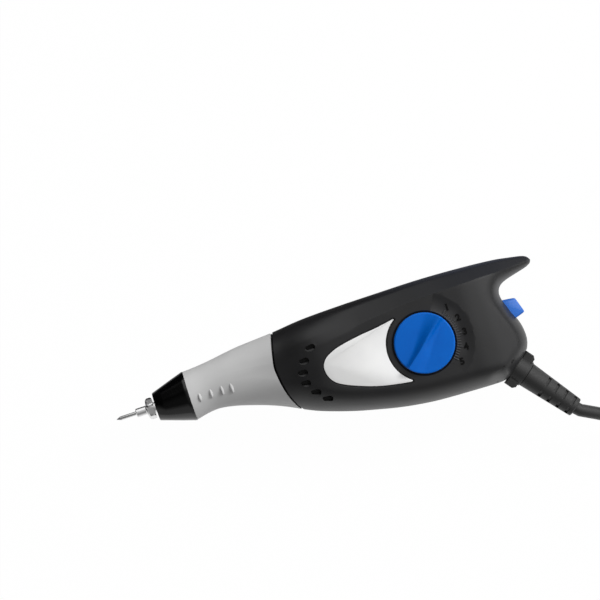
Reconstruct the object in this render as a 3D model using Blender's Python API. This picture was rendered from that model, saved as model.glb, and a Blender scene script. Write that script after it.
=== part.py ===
"""Electric engraving pen: a mains vibrator in a two-half moulded housing, lying on its right side.

Tool frame: X runs along the spindle from the cutting tip to the tail, Y towards the spine and Z out
of the dial side. One empty lifts the whole tool on to the floor and centres it over the origin.
"""

import math

import bmesh
import bpy
import numpy as np
from mathutils import Matrix, Vector

# Fits.
FIT = 0.0003  # gap between pieces that touch
OVERRUN = 0.002  # how far a cut runs past the face it opens
LAP = 0.0011  # how deep a moulded boss or rib roots in its wall

# Moulded body: length, heights above and below the spindle, half width.
BODY_START = 0.0322
BODY_LENGTH = 0.1567
SPINE_RISE = 0.0171
HEEL_DROP = 0.0354
HALF_WIDTH = 0.0210
WALL = 0.0022
SLEEVE_WALL = 0.0018
PARTING_LAND = 0.0009
# Each outline point is a share of the body's length and a share of the rise or of the drop.
TOP_SHARES = (
    (0.000, 0.626), (0.041, 0.649), (0.082, 0.690), (0.124, 0.749), (0.166, 0.801), (0.208, 0.830),
    (0.270, 0.871), (0.354, 0.953), (0.465, 0.988), (0.574, 0.997), (0.684, 1.000), (0.793, 0.965),
    (0.900, 0.895), (0.952, 0.819), (0.984, 0.757), (0.9955, 0.690), (1.000, 0.610),
)
BOTTOM_SHARES = (
    (0.000, 0.302), (0.030, 0.274), (0.054, 0.257), (0.078, 0.257), (0.117, 0.288), (0.153, 0.333),
    (0.189, 0.384), (0.226, 0.446), (0.261, 0.517), (0.290, 0.582), (0.327, 0.655), (0.377, 0.732),
    (0.426, 0.797), (0.477, 0.853), (0.528, 0.904), (0.580, 0.944), (0.633, 0.972), (0.686, 0.986),
    (0.741, 0.994), (0.790, 1.000), (0.813, 1.000),
)
REAR_SHARES = (
    (0.813, -1.000), (0.829, -0.997), (0.845, -0.975), (0.874, -0.881), (0.902, -0.785),
    (0.917, -0.715), (0.926, -0.588), (0.924, -0.438), (0.916, -0.319), (0.906, -0.223),
    (0.900, -0.140), (0.893, -0.056), (0.891, 0.041), (0.895, 0.165), (0.905, 0.257),
    (0.922, 0.325), (0.944, 0.380), (0.966, 0.430), (0.985, 0.480), (0.996, 0.537), (1.000, 0.610),
)
# The seam between grip and housing: share of the section's height, share of the body's length.
SEAM_SHARES = (
    (0.00, 0.288), (0.06, 0.276), (0.20, 0.262), (0.38, 0.254), (0.54, 0.251), (0.76, 0.258),
    (1.00, 0.270),
)
# Along the length: share of the half width, of the drop that the lower edge rounds over, of the
# drop that the spine strip takes, and of the way from a round back to a strip with a crease.
WIDTH_SHARES = (
    (0.000, 0.509), (0.051, 0.486), (0.115, 0.530), (0.191, 0.610), (0.274, 0.765), (0.332, 0.915),
    (0.376, 0.988), (0.414, 1.000), (0.778, 1.000), (0.829, 0.955), (0.880, 0.830), (0.931, 0.580),
    (0.970, 0.400), (1.000, 0.310),
)
EDGE_SHARES = (
    (0.000, 0.302), (0.051, 0.285), (0.115, 0.316), (0.191, 0.350), (0.274, 0.345), (0.370, 0.300),
    (0.497, 0.270), (0.752, 0.255), (0.847, 0.226), (0.931, 0.141), (1.000, 0.090),
)
STRIP_SHARES = (
    (0.000, 0.340), (0.400, 0.342), (0.465, 0.319), (0.528, 0.275), (0.592, 0.245), (0.656, 0.223),
    (0.784, 0.193), (0.847, 0.170), (0.911, 0.146), (0.956, 0.107), (0.987, 0.065), (1.000, 0.042),
)
CREASE_SHARES = ((0.000, 0.0), (0.330, 0.0), (0.510, 1.0), (1.000, 1.0))
STRIP_EDGE_SHARE = 0.25  # of the strip, rounded over on to the parting line
STRIP_HEIGHT_SHARE = 0.50  # of the half width, left where the strip meets that round
REAR_ROUND_SHARES = ((0.000, 0.170), (0.900, 0.170), (0.940, 0.110), (1.000, 0.085))
# Rows of the skin: shares of the way up to the crease, then on to the spine.
LOWER_ROW_SHARES = (0.0, 0.012, 0.045, 0.10, 0.20, 0.34, 0.46, 0.56, 0.65, 0.73, 0.81, 0.90, 1.0)
UPPER_ROW_SHARES = (0.25, 0.50, 0.72, 0.88, 0.965, 1.0)
CREASE_ROW_SHARES = (
    (0.0, 0.630), (0.25, 0.693), (0.4, 0.743), (0.5, 0.770), (0.6, 0.792), (0.8, 0.823), (0.9, 0.863),
    (0.95, 0.897), (1.0, 0.973),
)
SKIN_STATIONS = 17
SLEEVE_STATIONS = 6
EDGE_SAMPLES = 160

# Nose cap, bushes, spindle, chuck and point.
NECK_START = 0.0290
CAP_FRONT = 0.0177
CAP_BORE_R = 0.0034
CAP_STEP_SHARES = (
    (0.00, 0.560), (0.26, 0.690), (0.62, 0.860), (0.90, 0.985), (0.93, 1.000), (1.00, 1.000),
)
SPINDLE_R = 0.0025
SPINDLE_FRONT = 0.0146
SPINDLE_STUB_R = 0.0022
SPINDLE_STUB_LENGTH = 0.0054
SPINDLE_BORE_R = 0.0011
SPINDLE_BORE_LENGTH = 0.0207
BUSH_LENGTH = 0.0090
COLLAR_X = 0.0560
COLLAR_R = 0.0054
COLLAR_LENGTH = 0.0030
FRONT_BUSH_R = 0.0042
REAR_BUSH_X = 0.0780
REAR_BUSH_R = 0.0058
BULKHEAD = 0.0040
CHUCK_R = 0.0019
CHUCK_FRONT = 0.0088
CHUCK_FLANGE_X = 0.0134
CHUCK_FLANGE_LENGTH = 0.0034
CHUCK_FLANGE_R = 0.0048
CHUCK_BEVEL = 0.0013
CHUCK_REST = math.radians(18)
STROKE = 0.0010
NUT_ROUND = 24
POINT_R = 0.00085
POINT_TIP_R = 0.00012
POINT_CONE = 0.0022
POINT_LENGTH = 0.0330
SPRING_WIRE_R = 0.0004
SPRING_R = 0.0042
SPRING_CURLS = 7

# Field magnet and armature.
ARMATURE_X = 0.1090
ARMATURE_THICK = 0.0045
ARMATURE_PIVOT_Y = 0.0080
ARMATURE_FOOT_Y = -0.0255
ARMATURE_EYE_R = 0.0032
PIN_R = 0.0013
PIN_REACH = 0.0030  # how far the armature's pin stands into each boss
TAB_THICK = 0.0024
TAB_WIDTH = 0.0060
TAB_TOP = 0.0135
CORE_X = 0.1190
CORE_LENGTH = 0.0330
CORE_HEIGHT = 0.0340
CORE_Y = -0.0090
CORE_Z = -0.0050
CORE_THICK = 0.0140
CORE_LIMB = 0.2942 * CORE_HEIGHT
CORE_SIDE = 0.1618 * CORE_HEIGHT
BOBBIN_WALL = 0.0010
BOBBIN_CHEEK = 0.0012
WINDING_DEPTH = (CORE_HEIGHT - CORE_LIMB) / 2 - CORE_SIDE - BOBBIN_WALL - 4 * FIT
RIVET_R = 0.0013
RIVET_HEAD_R = 0.0024
RIVET_HEAD = 0.0009

# Stroke dial, cam and follower.
DIAL_X_SHARE = 0.6522
DIAL_Y_SHARE = 0.2542
DIAL_R = 0.0129
DIAL_PROUD = 0.0042
DIAL_SUNK = 0.0022
DIAL_EDGE = 0.0010
DIAL_GAP = 0.0006
WELL_FLOOR = 0.0024
DIAL_SHAFT_R = 0.0035
SCOOP_ALONG = 0.0105
SCOOP_ACROSS = 0.0066
SCOOP_DEEP = 0.0036
SCOOP_OUT = 0.0078
SCOOP_SHIFT = 0.0030
DIAL_TURN = math.radians(84)
DIAL_REST = math.radians(40)
CAM_R = 0.0060
CAM_RISE = 0.0012
CAM_THICK = 0.0030
CAM_TOP = 0.0128
CLIP_R = 0.0057
CLIP_THICK = 0.0008
FOLLOWER_WIDTH = 0.0040
FOLLOWER_LENGTH = 0.0078
GUIDE_WALL = 0.0020
GUIDE_LENGTH = 0.0050
RING_OUT = 0.0200
RING_IN = 0.0147
RING_DEEP = 0.0004
RING_START = math.radians(-53)
RING_END = math.radians(62)

# Bare metal plate.
PLATE_THICK = 0.0006
PLATE_DEEP = 0.0009
PLATE_GROOVE = 0.0005
PLATE_DIAL_R = 0.0163
# Plate corners from the dial's centre, as shares of the body's length and of the drop.
PLATE_UPPER_SHARES = (
    (-0.2766, 0.0977), (-0.2628, 0.1923), (-0.2263, 0.2672), (-0.1638, 0.3204), (-0.1071, 0.3510),
)
PLATE_LOWER_SHARES = ((-0.1412, -0.3309), (-0.2053, -0.2393), (-0.2556, -0.1309), (-0.2732, -0.0274))
PLATE_TIP_SHARES = (0.367, -0.401)
PLATE_ARC_STEPS = 9

# Vents, ribs, screws.
VENT_LENGTH = 0.0050
VENT_WIDTH = 0.0027
VENT_DEEP = 0.0013
VENT_SHARES = (
    (0.354, 0.225, 6), (0.327, -0.022, 3), (0.314, -0.152, 0), (0.313, -0.282, -3),
    (0.332, -0.420, -7), (0.357, -0.540, -10),
)
RIB_WIDTH = 0.0016
RIB_PROUD = 0.0007
RIB_SHARES = (
    (0.031, -0.045, 0.112), (0.063, -0.040, 0.124), (0.094, -0.042, 0.136), (0.121, -0.052, 0.142),
)
SCREW_SHARES = ((0.385, 0.47), (0.345, -0.44), (0.440, -0.60), (0.800, -0.50), (0.800, 0.40))
SCREW_R = 0.0012
SCREW_HEAD_R = 0.0022
SCREW_CROWN_R = 0.0018
SCREW_HEAD = 0.0020
SCREW_SEAT = 0.0070
SCREW_REACH = 0.0070
BOSS_WALL = 0.0015

# Switch.
SWITCH_Y_SHARE = -0.190
SWITCH_LEAN = math.radians(108)
SWITCH_TRAVEL = 0.0030
SWITCH_LENGTH = 0.0097
SWITCH_WIDTH = 0.0100
SWITCH_PROUD = 0.0042
SWITCH_SKIRT = 0.0012
SWITCH_SLOPE = 0.0023
SWITCH_GROOVE = 0.0004
SWITCH_GROOVES = 3
SWITCH_STEM = 0.0030
SWITCH_BODY = 0.0115
SWITCH_BODY_SET = 0.0012
SWITCH_CLEAR = 0.0006
SWITCH_BODY_DEEP = 0.0085

# Cord guard, clamp, cord and plug.
GUARD_AT_SHARES = (0.8840, -0.949)
GUARD_LEAN = math.radians(-52.1)
GUARD_LENGTH = 0.0250
GUARD_R = 0.00545
GUARD_TIP_R = 0.00425
GUARD_BASE = 0.0058
GUARD_BACK = 0.0034
GUARD_NECK_R = 0.0048
GUARD_COLLAR_R = 0.0059
GUARD_WING_R = 0.0083
GUARD_WING_THICK = 0.0068
GUARD_WING_FRONT = 0.0006
GUARD_SLOT_LENGTH = 0.0050
GUARD_SLOT_WIDTH = 0.0013
GUARD_SLOT_DEEP = 0.0012
GUARD_SLOT_START = 0.0090
GUARD_SLOT_TURN = math.radians(-32)
GUARD_PITCH = 0.0045
GUARD_SLOTS = 4
CORD_R = 0.00275
CORD_CLEAR = 0.00005  # between the lying cord and the surface below it
CORD_INSIDE = 0.0085
CLAMP_LENGTH = 0.0044
CLAMP_WIDTH = 0.0134
CLAMP_SET = 0.0020
CLAMP_THICK = 0.0020
CLAMP_SCREW_R = 0.0007
CLAMP_SCREW_AT = 0.0050
CLAMP_POST_R = 0.0019
# The lead's route from the guard down to the floor and along it: x, y and the drop below the spindle.
LEAD_ROUTE = (
    (0.1930, -0.0606, 0.0011), (0.1990, -0.0640, 0.0034), (0.2055, -0.0660, 0.0072),
    (0.2120, -0.0673, 0.0115), (0.2185, -0.0683, 0.0151), (0.2250, -0.0692, 0.0173),
    (0.2320, -0.0699, 0.0181),
)
TAIL_ROUTE = (
    (0.3027, -0.0015, 0.0132), (0.3010, 0.0065, 0.0140), (0.2965, 0.0150, 0.0147), (0.2900, 0.0220, 0.0150),
)
PLUG_AT = (0.2780, 0.0275)
COIL_AT = (0.2660, -0.0270)
COIL_R = 0.0435
COIL_TURNS = 7 + 110 / 360
COIL_START = math.radians(-90)
COIL_CLIMB_TURNS = 1 / 2
COIL_GAP = 0.00060
COIL_PER_TURN = 24
CORD_STEP = 0.0060
PLUG_LENGTH = 0.0300
PLUG_WIDTH = 0.0200
PLUG_THICK = 0.0120
PLUG_NECK_R = 0.0042
PLUG_NECK = 0.0070
PLUG_FLARE = 0.0120
PLUG_FLARE_Z = 0.0054
PLUG_WAIST = 0.0190
PLUG_WAIST_Y = 0.0095
PLUG_POWER = 3  # how square its section is: 2 is round
BLADE_LENGTH = 0.0160
BLADE_WIDTH = 0.0064
BLADE_THICK = 0.0015
BLADE_SPACING = 0.0127

ROUND = 20
FINE_ROUND = 32
BOSS_ROUND = 12
PIN_ROUND = 16
CAM_ROUND = 36


# Scene helpers.
def clear_scene():
    for old in list(bpy.data.objects):
        bpy.data.objects.remove(old, do_unlink=True)


def material(name, colour, roughness, metallic=0.0):
    made = bpy.data.materials.new(name)
    made.use_nodes = True
    shader = made.node_tree.nodes["Principled BSDF"]
    shader.inputs["Base Color"].default_value = (*colour, 1.0)
    shader.inputs["Roughness"].default_value = roughness
    shader.inputs["Metallic"].default_value = metallic
    return made


def solid(name, bm, look, parent, at=(0.0, 0.0, 0.0), sharp=35):
    """One named object from a bmesh whose points are given in the tool frame, with its origin at `at`."""
    bmesh.ops.translate(bm, verts=bm.verts, vec=-Vector(at))
    mesh = bpy.data.meshes.new(name)
    bm.to_mesh(mesh)
    bm.free()
    mesh.shade_smooth()
    mesh.set_sharp_from_angle(angle=math.radians(sharp))
    mesh.materials.append(look)
    made = bpy.data.objects.new(name, mesh)
    bpy.context.scene.collection.objects.link(made)
    made.location = at
    made.parent = parent
    return made


def tool(name, bm, parent):
    """A cutter or a lump to join: kept out of the part itself."""
    mesh = bpy.data.meshes.new(name)
    bm.to_mesh(mesh)
    bm.free()
    made = bpy.data.objects.new(name, mesh)
    bpy.context.scene.collection.objects.link(made)
    made.parent = parent
    made.hide_render = True
    made.display_type = "WIRE"
    return made


def combine(made, other, operation):
    step = made.modifiers.new(other.name, "BOOLEAN")
    step.operation = operation
    step.solver = "EXACT"
    step.use_self = True
    step.object = other
    return made


# Shapes.
def add_faces(bm, points, faces):
    verts = [bm.verts.new(p) for p in points]
    for face in faces:
        bm.faces.new([verts[i] for i in face])
    return verts


def lathe(bm, profile, steps=ROUND):
    """Turns (x, r) points round the X axis. A profile that ends at r = 0 closes in a point."""
    rings = []
    for x, r in profile:
        if r <= 0:
            rings.append([bm.verts.new((x, 0, 0))])
            continue
        turn = [2 * math.pi * k / steps for k in range(steps)]
        rings.append([bm.verts.new((x, r * math.cos(a), r * math.sin(a))) for a in turn])
    closed = profile[0][1] > 0
    pairs = zip(rings, rings[1:] + (rings[:1] if closed else []))
    for a, b in pairs:
        for k in range(steps):
            n = (k + 1) % steps
            quad = [a[k % len(a)], a[n % len(a)], b[n % len(b)], b[k % len(b)]]
            bm.faces.new(list(dict.fromkeys(quad)))
    bmesh.ops.recalc_face_normals(bm, faces=bm.faces)
    return bm


def turned(profile, steps=ROUND):
    return lathe(bmesh.new(), profile, steps)


def prism(bm, outline, low, high):
    """An outline in X and Y drawn out from one height to another."""
    count = len(outline)
    points = [(x, y, low) for x, y in outline] + [(x, y, high) for x, y in outline]
    sides = [(k, (k + 1) % count, count + (k + 1) % count, count + k) for k in range(count)]
    verts = add_faces(bm, points, [tuple(reversed(range(count))), tuple(range(count, 2 * count)), *sides])
    bmesh.ops.recalc_face_normals(bm, faces=list({f for v in verts for f in v.link_faces}))
    return bm


def block(bm, low, high, turn=None):
    """A box between two corners, turned by a matrix where one is given."""
    (a, b, c), (d, e, f) = low, high
    points = [Vector((x, y, z)) for z in (c, f) for x, y in ((a, b), (d, b), (d, e), (a, e))]
    if turn:
        points = [turn @ p for p in points]
    faces = ((0, 3, 2, 1), (4, 5, 6, 7), (0, 1, 5, 4), (1, 2, 6, 5), (2, 3, 7, 6), (3, 0, 4, 7))
    add_faces(bm, points, faces)
    return bm


def circle(at, r, steps=ROUND, start=0.0):
    turn = [start + 2 * math.pi * k / steps for k in range(steps)]
    return [(at[0] + r * math.cos(a), at[1] + r * math.sin(a)) for a in turn]


def stadium(at, length, width, lean, steps=3):
    """A slot's outline: two half rounds joined by straight sides."""
    r, half = width / 2, length / 2 - width / 2
    points = []
    for side in (1, -1):
        for k in range(steps + 1):
            a = lean + (0 if side > 0 else math.pi) - math.pi / 2 + math.pi * k / steps
            cx = at[0] + side * half * math.cos(lean)
            cy = at[1] + side * half * math.sin(lean)
            points.append((cx + r * math.cos(a), cy + r * math.sin(a)))
    return points


def spring(bm, start, end, r, wire_r, curls, per_curl=8, sides=5):
    """A wire wound round a line along X, as one tube whose ends stand square to the line."""
    count = curls * per_curl
    rings = []
    for k in range(count + 1):
        a = 2 * math.pi * k / per_curl
        x = start + (end - start) * k / count
        out = Vector((0, math.cos(a), math.sin(a)))
        mid = Vector((x, 0, 0)) + out * r
        rings.append([bm.verts.new(mid + out * wire_r * math.cos(b) + Vector((wire_r * math.sin(b), 0, 0)))
                      for b in (2 * math.pi * s / sides for s in range(sides))])
    for a, b in zip(rings, rings[1:]):
        for s in range(sides):
            n = (s + 1) % sides
            bm.faces.new((a[s], a[n], b[n], b[s]))
    bm.faces.new(list(reversed(rings[0])))
    bm.faces.new(rings[-1])
    bmesh.ops.recalc_face_normals(bm, faces=bm.faces)
    return bm


# The moulded body's skin.
def smooth(table, at, monotone=True):
    """A smooth curve through a table of (place, value) pairs, read at one place or many."""
    knots, values = (np.array(column, float) for column in zip(*table))
    at = np.clip(at, knots[0], knots[-1])
    step = np.diff(knots)
    slope = np.diff(values) / step
    turn = np.zeros(len(knots))
    turn[0], turn[-1] = slope[0], slope[-1]
    same = slope[:-1] * slope[1:] > 0
    mean = 2 * slope[:-1] * slope[1:] / np.where(same, slope[:-1] + slope[1:], 1)
    plain = (values[2:] - values[:-2]) / (knots[2:] - knots[:-2])
    turn[1:-1] = np.where(same, mean, 0) if monotone else plain
    i = np.clip(np.searchsorted(knots, at, side="right") - 1, 0, len(step) - 1)
    t, h = (at - knots[i]) / step[i], step[i]
    rise = (t**3 - 2 * t**2 + t) * h * turn[i] + (t**3 - t**2) * h * turn[i + 1]
    return (2 * t**3 - 3 * t**2 + 1) * values[i] + (3 * t**2 - 2 * t**3) * values[i + 1] + rise


def place(shares):
    """A point of the outline from its share of the length and of the rise or drop."""
    x, y = shares
    return np.array((BODY_START + x * BODY_LENGTH, y * (SPINE_RISE if y > 0 else HEEL_DROP)))


class Edge:
    """One side of the body's outline, smooth through its points and read by share of its length."""

    def __init__(self, line):
        self.line = line
        reach = np.linalg.norm(np.diff(line, axis=0), axis=1)
        self.along = np.concatenate([[0], np.cumsum(reach)])

    @classmethod
    def through(cls, points, ahead=0.0):
        points = np.array(points)
        if ahead:
            points = np.vstack([points[0] - (ahead, 0), points])
        along = np.concatenate([[0], np.cumsum(np.linalg.norm(np.diff(points, axis=0), axis=1))])
        fine = np.linspace(0, along[-1], EDGE_SAMPLES)
        columns = [smooth(list(zip(along, points[:, k])), fine, monotone=False) for k in (0, 1)]
        return cls(np.stack(columns, axis=1))

    def moved(self, left):
        """The edge drawn parallel to itself, a distance to its left."""
        way = np.gradient(self.line, axis=0)
        way /= np.linalg.norm(way, axis=1)[:, None]
        return self.line + left * np.stack([-way[:, 1], way[:, 0]], axis=1)

    def at(self, share, start=0.0):
        """The point at a share of what lies past `start`, a length along the edge."""
        reach = start + (self.along[-1] - start) * np.asarray(share)
        return np.stack([np.interp(reach, self.along, self.line[:, k]) for k in (0, 1)], axis=-1)

    def start_of(self, x):
        return float(np.interp(x, self.line[:, 0], self.along))

    def height(self, x):
        return np.interp(x, self.line[:, 0], self.line[:, 1])

    def distance(self, points):
        a, b = self.line[:-1], self.line[1:]
        step = b - a
        t = ((points[..., None, :] - a) * step).sum(-1) / (step**2).sum(-1)
        near = a + np.clip(t, 0, 1)[..., None] * step
        return np.linalg.norm(points[..., None, :] - near, axis=-1).min(-1)


TOP = Edge.through([place(p) for p in TOP_SHARES], ahead=BODY_START - NECK_START + OVERRUN)
BOTTOM = Edge.through([place((x, -y)) for x, y in BOTTOM_SHARES], ahead=BODY_START - NECK_START + OVERRUN)
REAR = Edge.through([place(p) for p in REAR_SHARES])


def inner_edges(inset):
    """The three edges drawn in by a wall, the last two trimmed to where they cross in the tail."""
    top, bottom, rear = TOP.moved(-inset), BOTTOM.moved(inset), REAR.moved(inset)
    apart = np.linalg.norm(top[:, None] - rear[None], axis=-1)
    i, j = np.unravel_index(apart.argmin(), apart.shape)
    tail = (top[i] + rear[j]) / 2
    heel = (bottom[-1] + rear[0]) / 2
    return (Edge(np.vstack([top[:i], tail])), Edge(np.vstack([bottom[:-1], heel])),
            Edge(np.vstack([heel, rear[1:j], tail])))


EDGES = {0.0: (TOP, BOTTOM, REAR), WALL: inner_edges(WALL)}


def rounded(share):
    return np.sqrt(np.clip(1 - (1 - np.clip(share, 0, 1)) ** 2, 0, 1))


def skin_height(points, inset=0.0, foot=FIT / 2):
    """How far the skin stands off the parting plane over points of the outline's plane."""
    points = np.asarray(points, float)
    s = (points[..., 0] - BODY_START) / BODY_LENGTH
    edge = np.maximum(smooth(EDGE_SHARES, s) * HEEL_DROP - inset, inset / 2)
    strip = np.maximum(smooth(STRIP_SHARES, s) * HEEL_DROP - inset, inset / 2)
    back = np.maximum(smooth(REAR_ROUND_SHARES, s) * HEEL_DROP - inset, inset / 2)
    below = rounded((BOTTOM.distance(points) - inset) / edge)
    behind = rounded((REAR.distance(points) - inset) / back)
    down = TOP.distance(points) - inset
    ramp = np.clip(down / strip, 0, 1)
    creased = STRIP_HEIGHT_SHARE * rounded(ramp / STRIP_EDGE_SHARE) + (1 - STRIP_HEIGHT_SHARE) * ramp
    blend = smooth(CREASE_SHARES, s)
    above = (1 - blend) * rounded(down / edge) + blend * creased
    width = smooth(WIDTH_SHARES, s) * HALF_WIDTH - inset - foot
    return foot + width * below * above * behind


def seam_x(share):
    return BODY_START + smooth(SEAM_SHARES, share) * BODY_LENGTH


def rows(crease):
    return [r * crease for r in LOWER_ROW_SHARES] + [crease + r * (1 - crease) for r in UPPER_ROW_SHARES]


def front_station(share, start, end_gap, inset):
    """Points of one section between a plane near the nose and the seam, from heel to spine."""
    v = np.array(rows(CREASE_ROW_SHARES[0][1]))
    x = start + (seam_x(v) + end_gap - start) * share
    low, high = BOTTOM.height(x) + inset, TOP.height(x) - inset
    return np.stack([x, low + (high - low) * v], axis=-1)


def rear_station(share, inset):
    """One line of the patch that the seam, the lower edge, the rear and the spine bound."""
    top, bottom, rear = EDGES[inset]
    v = np.array(rows(float(smooth(CREASE_ROW_SHARES, share))))
    u, gap = share, FIT / 2 + inset
    a = front_station(1.0, NECK_START, gap, inset)
    a_v = rows(CREASE_ROW_SHARES[0][1])
    a = np.stack([np.interp(v, a_v, a[:, k]) for k in (0, 1)], axis=-1)
    b0, d0 = bottom.start_of(a[0, 0]), top.start_of(a[-1, 0])
    b, d, c = bottom.at(u, b0), top.at(u, d0), rear.at(v)
    corner = [bottom.at(0, b0), top.at(0, d0), bottom.at(1), top.at(1)]
    v = v[:, None]
    ruled = (1 - v) * b + v * d + (1 - u) * a + u * c
    near = (1 - v) * corner[0] + v * corner[1]
    far = (1 - v) * corner[2] + v * corner[3]
    return ruled - (1 - u) * near - u * far


def banded(points, height, end_land=False):
    """Adds the upright land at the parting line to both ends of a section."""
    foot = FIT / 2
    height = np.maximum(height, foot + PARTING_LAND)
    if end_land:
        height = np.full(len(points), foot)
    return [(*points[0], foot)] + [(*p, z) for p, z in zip(points, height)] + [(*points[-1], foot)]


def shell_lines(inset):
    """Sections of the half housing from neck to tail, stepped in where the grip slides over it."""
    step_in = SLEEVE_WALL + FIT + inset
    lines = []
    ahead = [front_station(0.0, NECK_START, 0.0, step_in)]
    along = [front_station(k / SLEEVE_STATIONS, BODY_START, FIT / 2 + inset, step_in)
             for k in range(SLEEVE_STATIONS + 1)]
    for points in ahead + along:
        lines.append(banded(points, skin_height(points, step_in)))
    for k in range(SKIN_STATIONS + 1):
        t = k / SKIN_STATIONS
        points = rear_station(0.4 * t + 0.6 * math.sin(math.pi * t / 2), inset)
        lines.append(banded(points, skin_height(points, inset)))
    lines.append(banded(points, skin_height(points), end_land=True))
    return lines


def half_shell(side):
    """One half of the housing, with the neck that the grip slides over: side 1 is the dial side."""
    bm = bmesh.new()
    grids = [[[bm.verts.new((x, y, side * z)) for x, y, z in line] for line in shell_lines(inset)]
             for inset in (0, WALL)]
    for grid in grids:
        for first, second in zip(grid, grid[1:]):
            for j in range(len(first) - 1):
                bm.faces.new((first[j], second[j], second[j + 1], first[j + 1]))
    rims = [[line[0] for line in grid] + grid[-1][1:-1]
            + [line[-1] for line in reversed(grid)] + grid[0][-2:0:-1]
            for grid in grids]
    for k in range(len(rims[0])):
        n = (k + 1) % len(rims[0])
        bm.faces.new((rims[0][k], rims[0][n], rims[1][n], rims[1][k]))
    bmesh.ops.remove_doubles(bm, verts=bm.verts, dist=FIT / 100)
    bmesh.ops.recalc_face_normals(bm, faces=bm.faces)
    return bm


def sleeve_ring(share, inset):
    points = front_station(share, BODY_START, -FIT / 2, inset)
    height = skin_height(points, inset, 0.0)
    near = [(*p, z) for p, z in zip(points, height)]
    near[0], near[-1] = (*points[0], 0.0), (*points[-1], 0.0)
    far = [(x, y, -z) for x, y, z in near[-2:0:-1]]
    return near + far


def loft(bm, rings):
    """Skins a list of closed rings into a closed tube wall: the last ring joins the first."""
    grid = [[bm.verts.new(p) for p in ring] for ring in rings]
    for first, second in zip(grid, grid[1:] + grid[:1]):
        for j in range(len(first)):
            n = (j + 1) % len(first)
            bm.faces.new((first[j], second[j], second[n], first[n]))
    bmesh.ops.recalc_face_normals(bm, faces=bm.faces)
    return bm


# Places that several pieces share.
DIAL_AT = place((DIAL_X_SHARE, -DIAL_Y_SHARE))
GUARD_AT = place(GUARD_AT_SHARES)
WELL_Z = HALF_WIDTH - DIAL_SUNK - FIT


def guard_frame():
    """Along +X of this frame the cord leaves the tool."""
    return Matrix.Translation((*GUARD_AT, 0.0)) @ Matrix.Rotation(GUARD_LEAN, 4, "Z")


def switch_frame():
    """X runs along the switch's travel, towards the spine, and Y into the housing from its rear face."""
    y = SWITCH_Y_SHARE * HEEL_DROP
    heel_up = REAR.line[REAR.line[:, 1] < 0]
    x = float(np.interp(y, heel_up[:, 1], heel_up[:, 0]))
    along = np.array((math.cos(SWITCH_LEAN), math.sin(SWITCH_LEAN)))
    out = np.array((along[1], -along[0]))
    near = [p for p in REAR.line - (x, y) if abs(p @ along) < SWITCH_LENGTH / 2 + SWITCH_TRAVEL]
    at = np.array((x, y)) + out * max(p @ out for p in near)
    return Matrix.Translation((*at, 0.0)) @ Matrix.Rotation(SWITCH_LEAN, 4, "Z")


def slot_outlines():
    return [(place((x, y)), math.radians(lean)) for x, y, lean in VENT_SHARES]


def plate_outline(grow=0.0):
    """The plate's outline: placed corners, with the side at the dial struck from its centre."""
    scale = np.array((BODY_LENGTH, HEEL_DROP))
    upper = [DIAL_AT + scale * p for p in PLATE_UPPER_SHARES]
    lower = [DIAL_AT + scale * p for p in PLATE_LOWER_SHARES]
    ends = [math.pi - math.asin(share * HEEL_DROP / PLATE_DIAL_R) for share in PLATE_TIP_SHARES]
    arc = [DIAL_AT + PLATE_DIAL_R * np.array((math.cos(a), math.sin(a)))
           for a in np.linspace(*ends, PLATE_ARC_STEPS)]
    loop = np.array(upper + arc + lower)
    ahead, back = np.roll(loop, -1, axis=0) - loop, loop - np.roll(loop, 1, axis=0)
    way = ahead / np.linalg.norm(ahead, axis=1)[:, None] + back / np.linalg.norm(back, axis=1)[:, None]
    way /= np.linalg.norm(way, axis=1)[:, None]
    return loop + grow * np.stack([-way[:, 1], way[:, 0]], axis=1)


# Housing.
def screw_places():
    return [place(p) for p in SCREW_SHARES]


def post(bm, at, r, side, low):
    """A round boss from near the parting plane out into the side wall, at whatever height that is."""
    ring = circle(at, r, BOSS_ROUND)
    top = float(skin_height(ring).min()) - WALL + LAP
    prism(bm, ring, *sorted((side * low, side * top)))


def rib(bm, low, high, side, foot):
    """A square post from a height inside the housing out into the side wall."""
    corners = np.array([(x, y) for x in (low[0], high[0]) for y in (low[1], high[1])])
    top = float(skin_height(corners).min()) - WALL + LAP
    block(bm, (*low, min(side * foot, side * top)), (*high, max(side * foot, side * top)))


def core_corners():
    """Footprints of the four posts that grip the laminated core."""
    x0, x1 = CORE_X + CORE_SIDE / 2, CORE_X + CORE_LENGTH - CORE_SIDE / 2
    y0, y1 = CORE_Y - CORE_HEIGHT / 2 + CORE_SIDE / 2, CORE_Y + CORE_HEIGHT / 2 - CORE_SIDE / 2
    half = CORE_SIDE / 3
    return [((x - half, y - half), (x + half, y + half)) for x in (x0, x1) for y in (y0, y1)]


def bulkhead(bm, side, x, bore, reach, inset):
    """A half wall across the housing at x, round a half bore on the spindle's line."""
    steps = ROUND // 2 + 1
    low, high = float(BOTTOM.height(x)) + inset, float(TOP.height(x)) - inset
    rise = np.linspace(low, high, 9)
    inside = skin_height([(x, y) for y in rise], inset)
    foot = FIT / 2
    arch = [(bore * math.cos(a), max(bore * math.sin(a), foot)) for a in np.linspace(0, math.pi, steps)]
    under = zip(rise[::-1][1:-1], inside[::-1][1:-1])
    ring = [(high, foot)] + [(y, max(z, foot + LAP)) for y, z in under] + [(low, foot)]
    outline = ring + [(y, z) for y, z in reversed(arch)]
    count = len(outline)
    points = [(end, y, side * z) for end in (x - reach / 2, x + reach / 2) for y, z in outline]
    sides = [(k, (k + 1) % count, count + (k + 1) % count, count + k) for k in range(count)]
    verts = add_faces(bm, points, [tuple(range(count)), tuple(reversed(range(count, 2 * count))), *sides])
    bmesh.ops.recalc_face_normals(bm, faces=list({f for v in verts for f in v.link_faces}))


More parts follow.
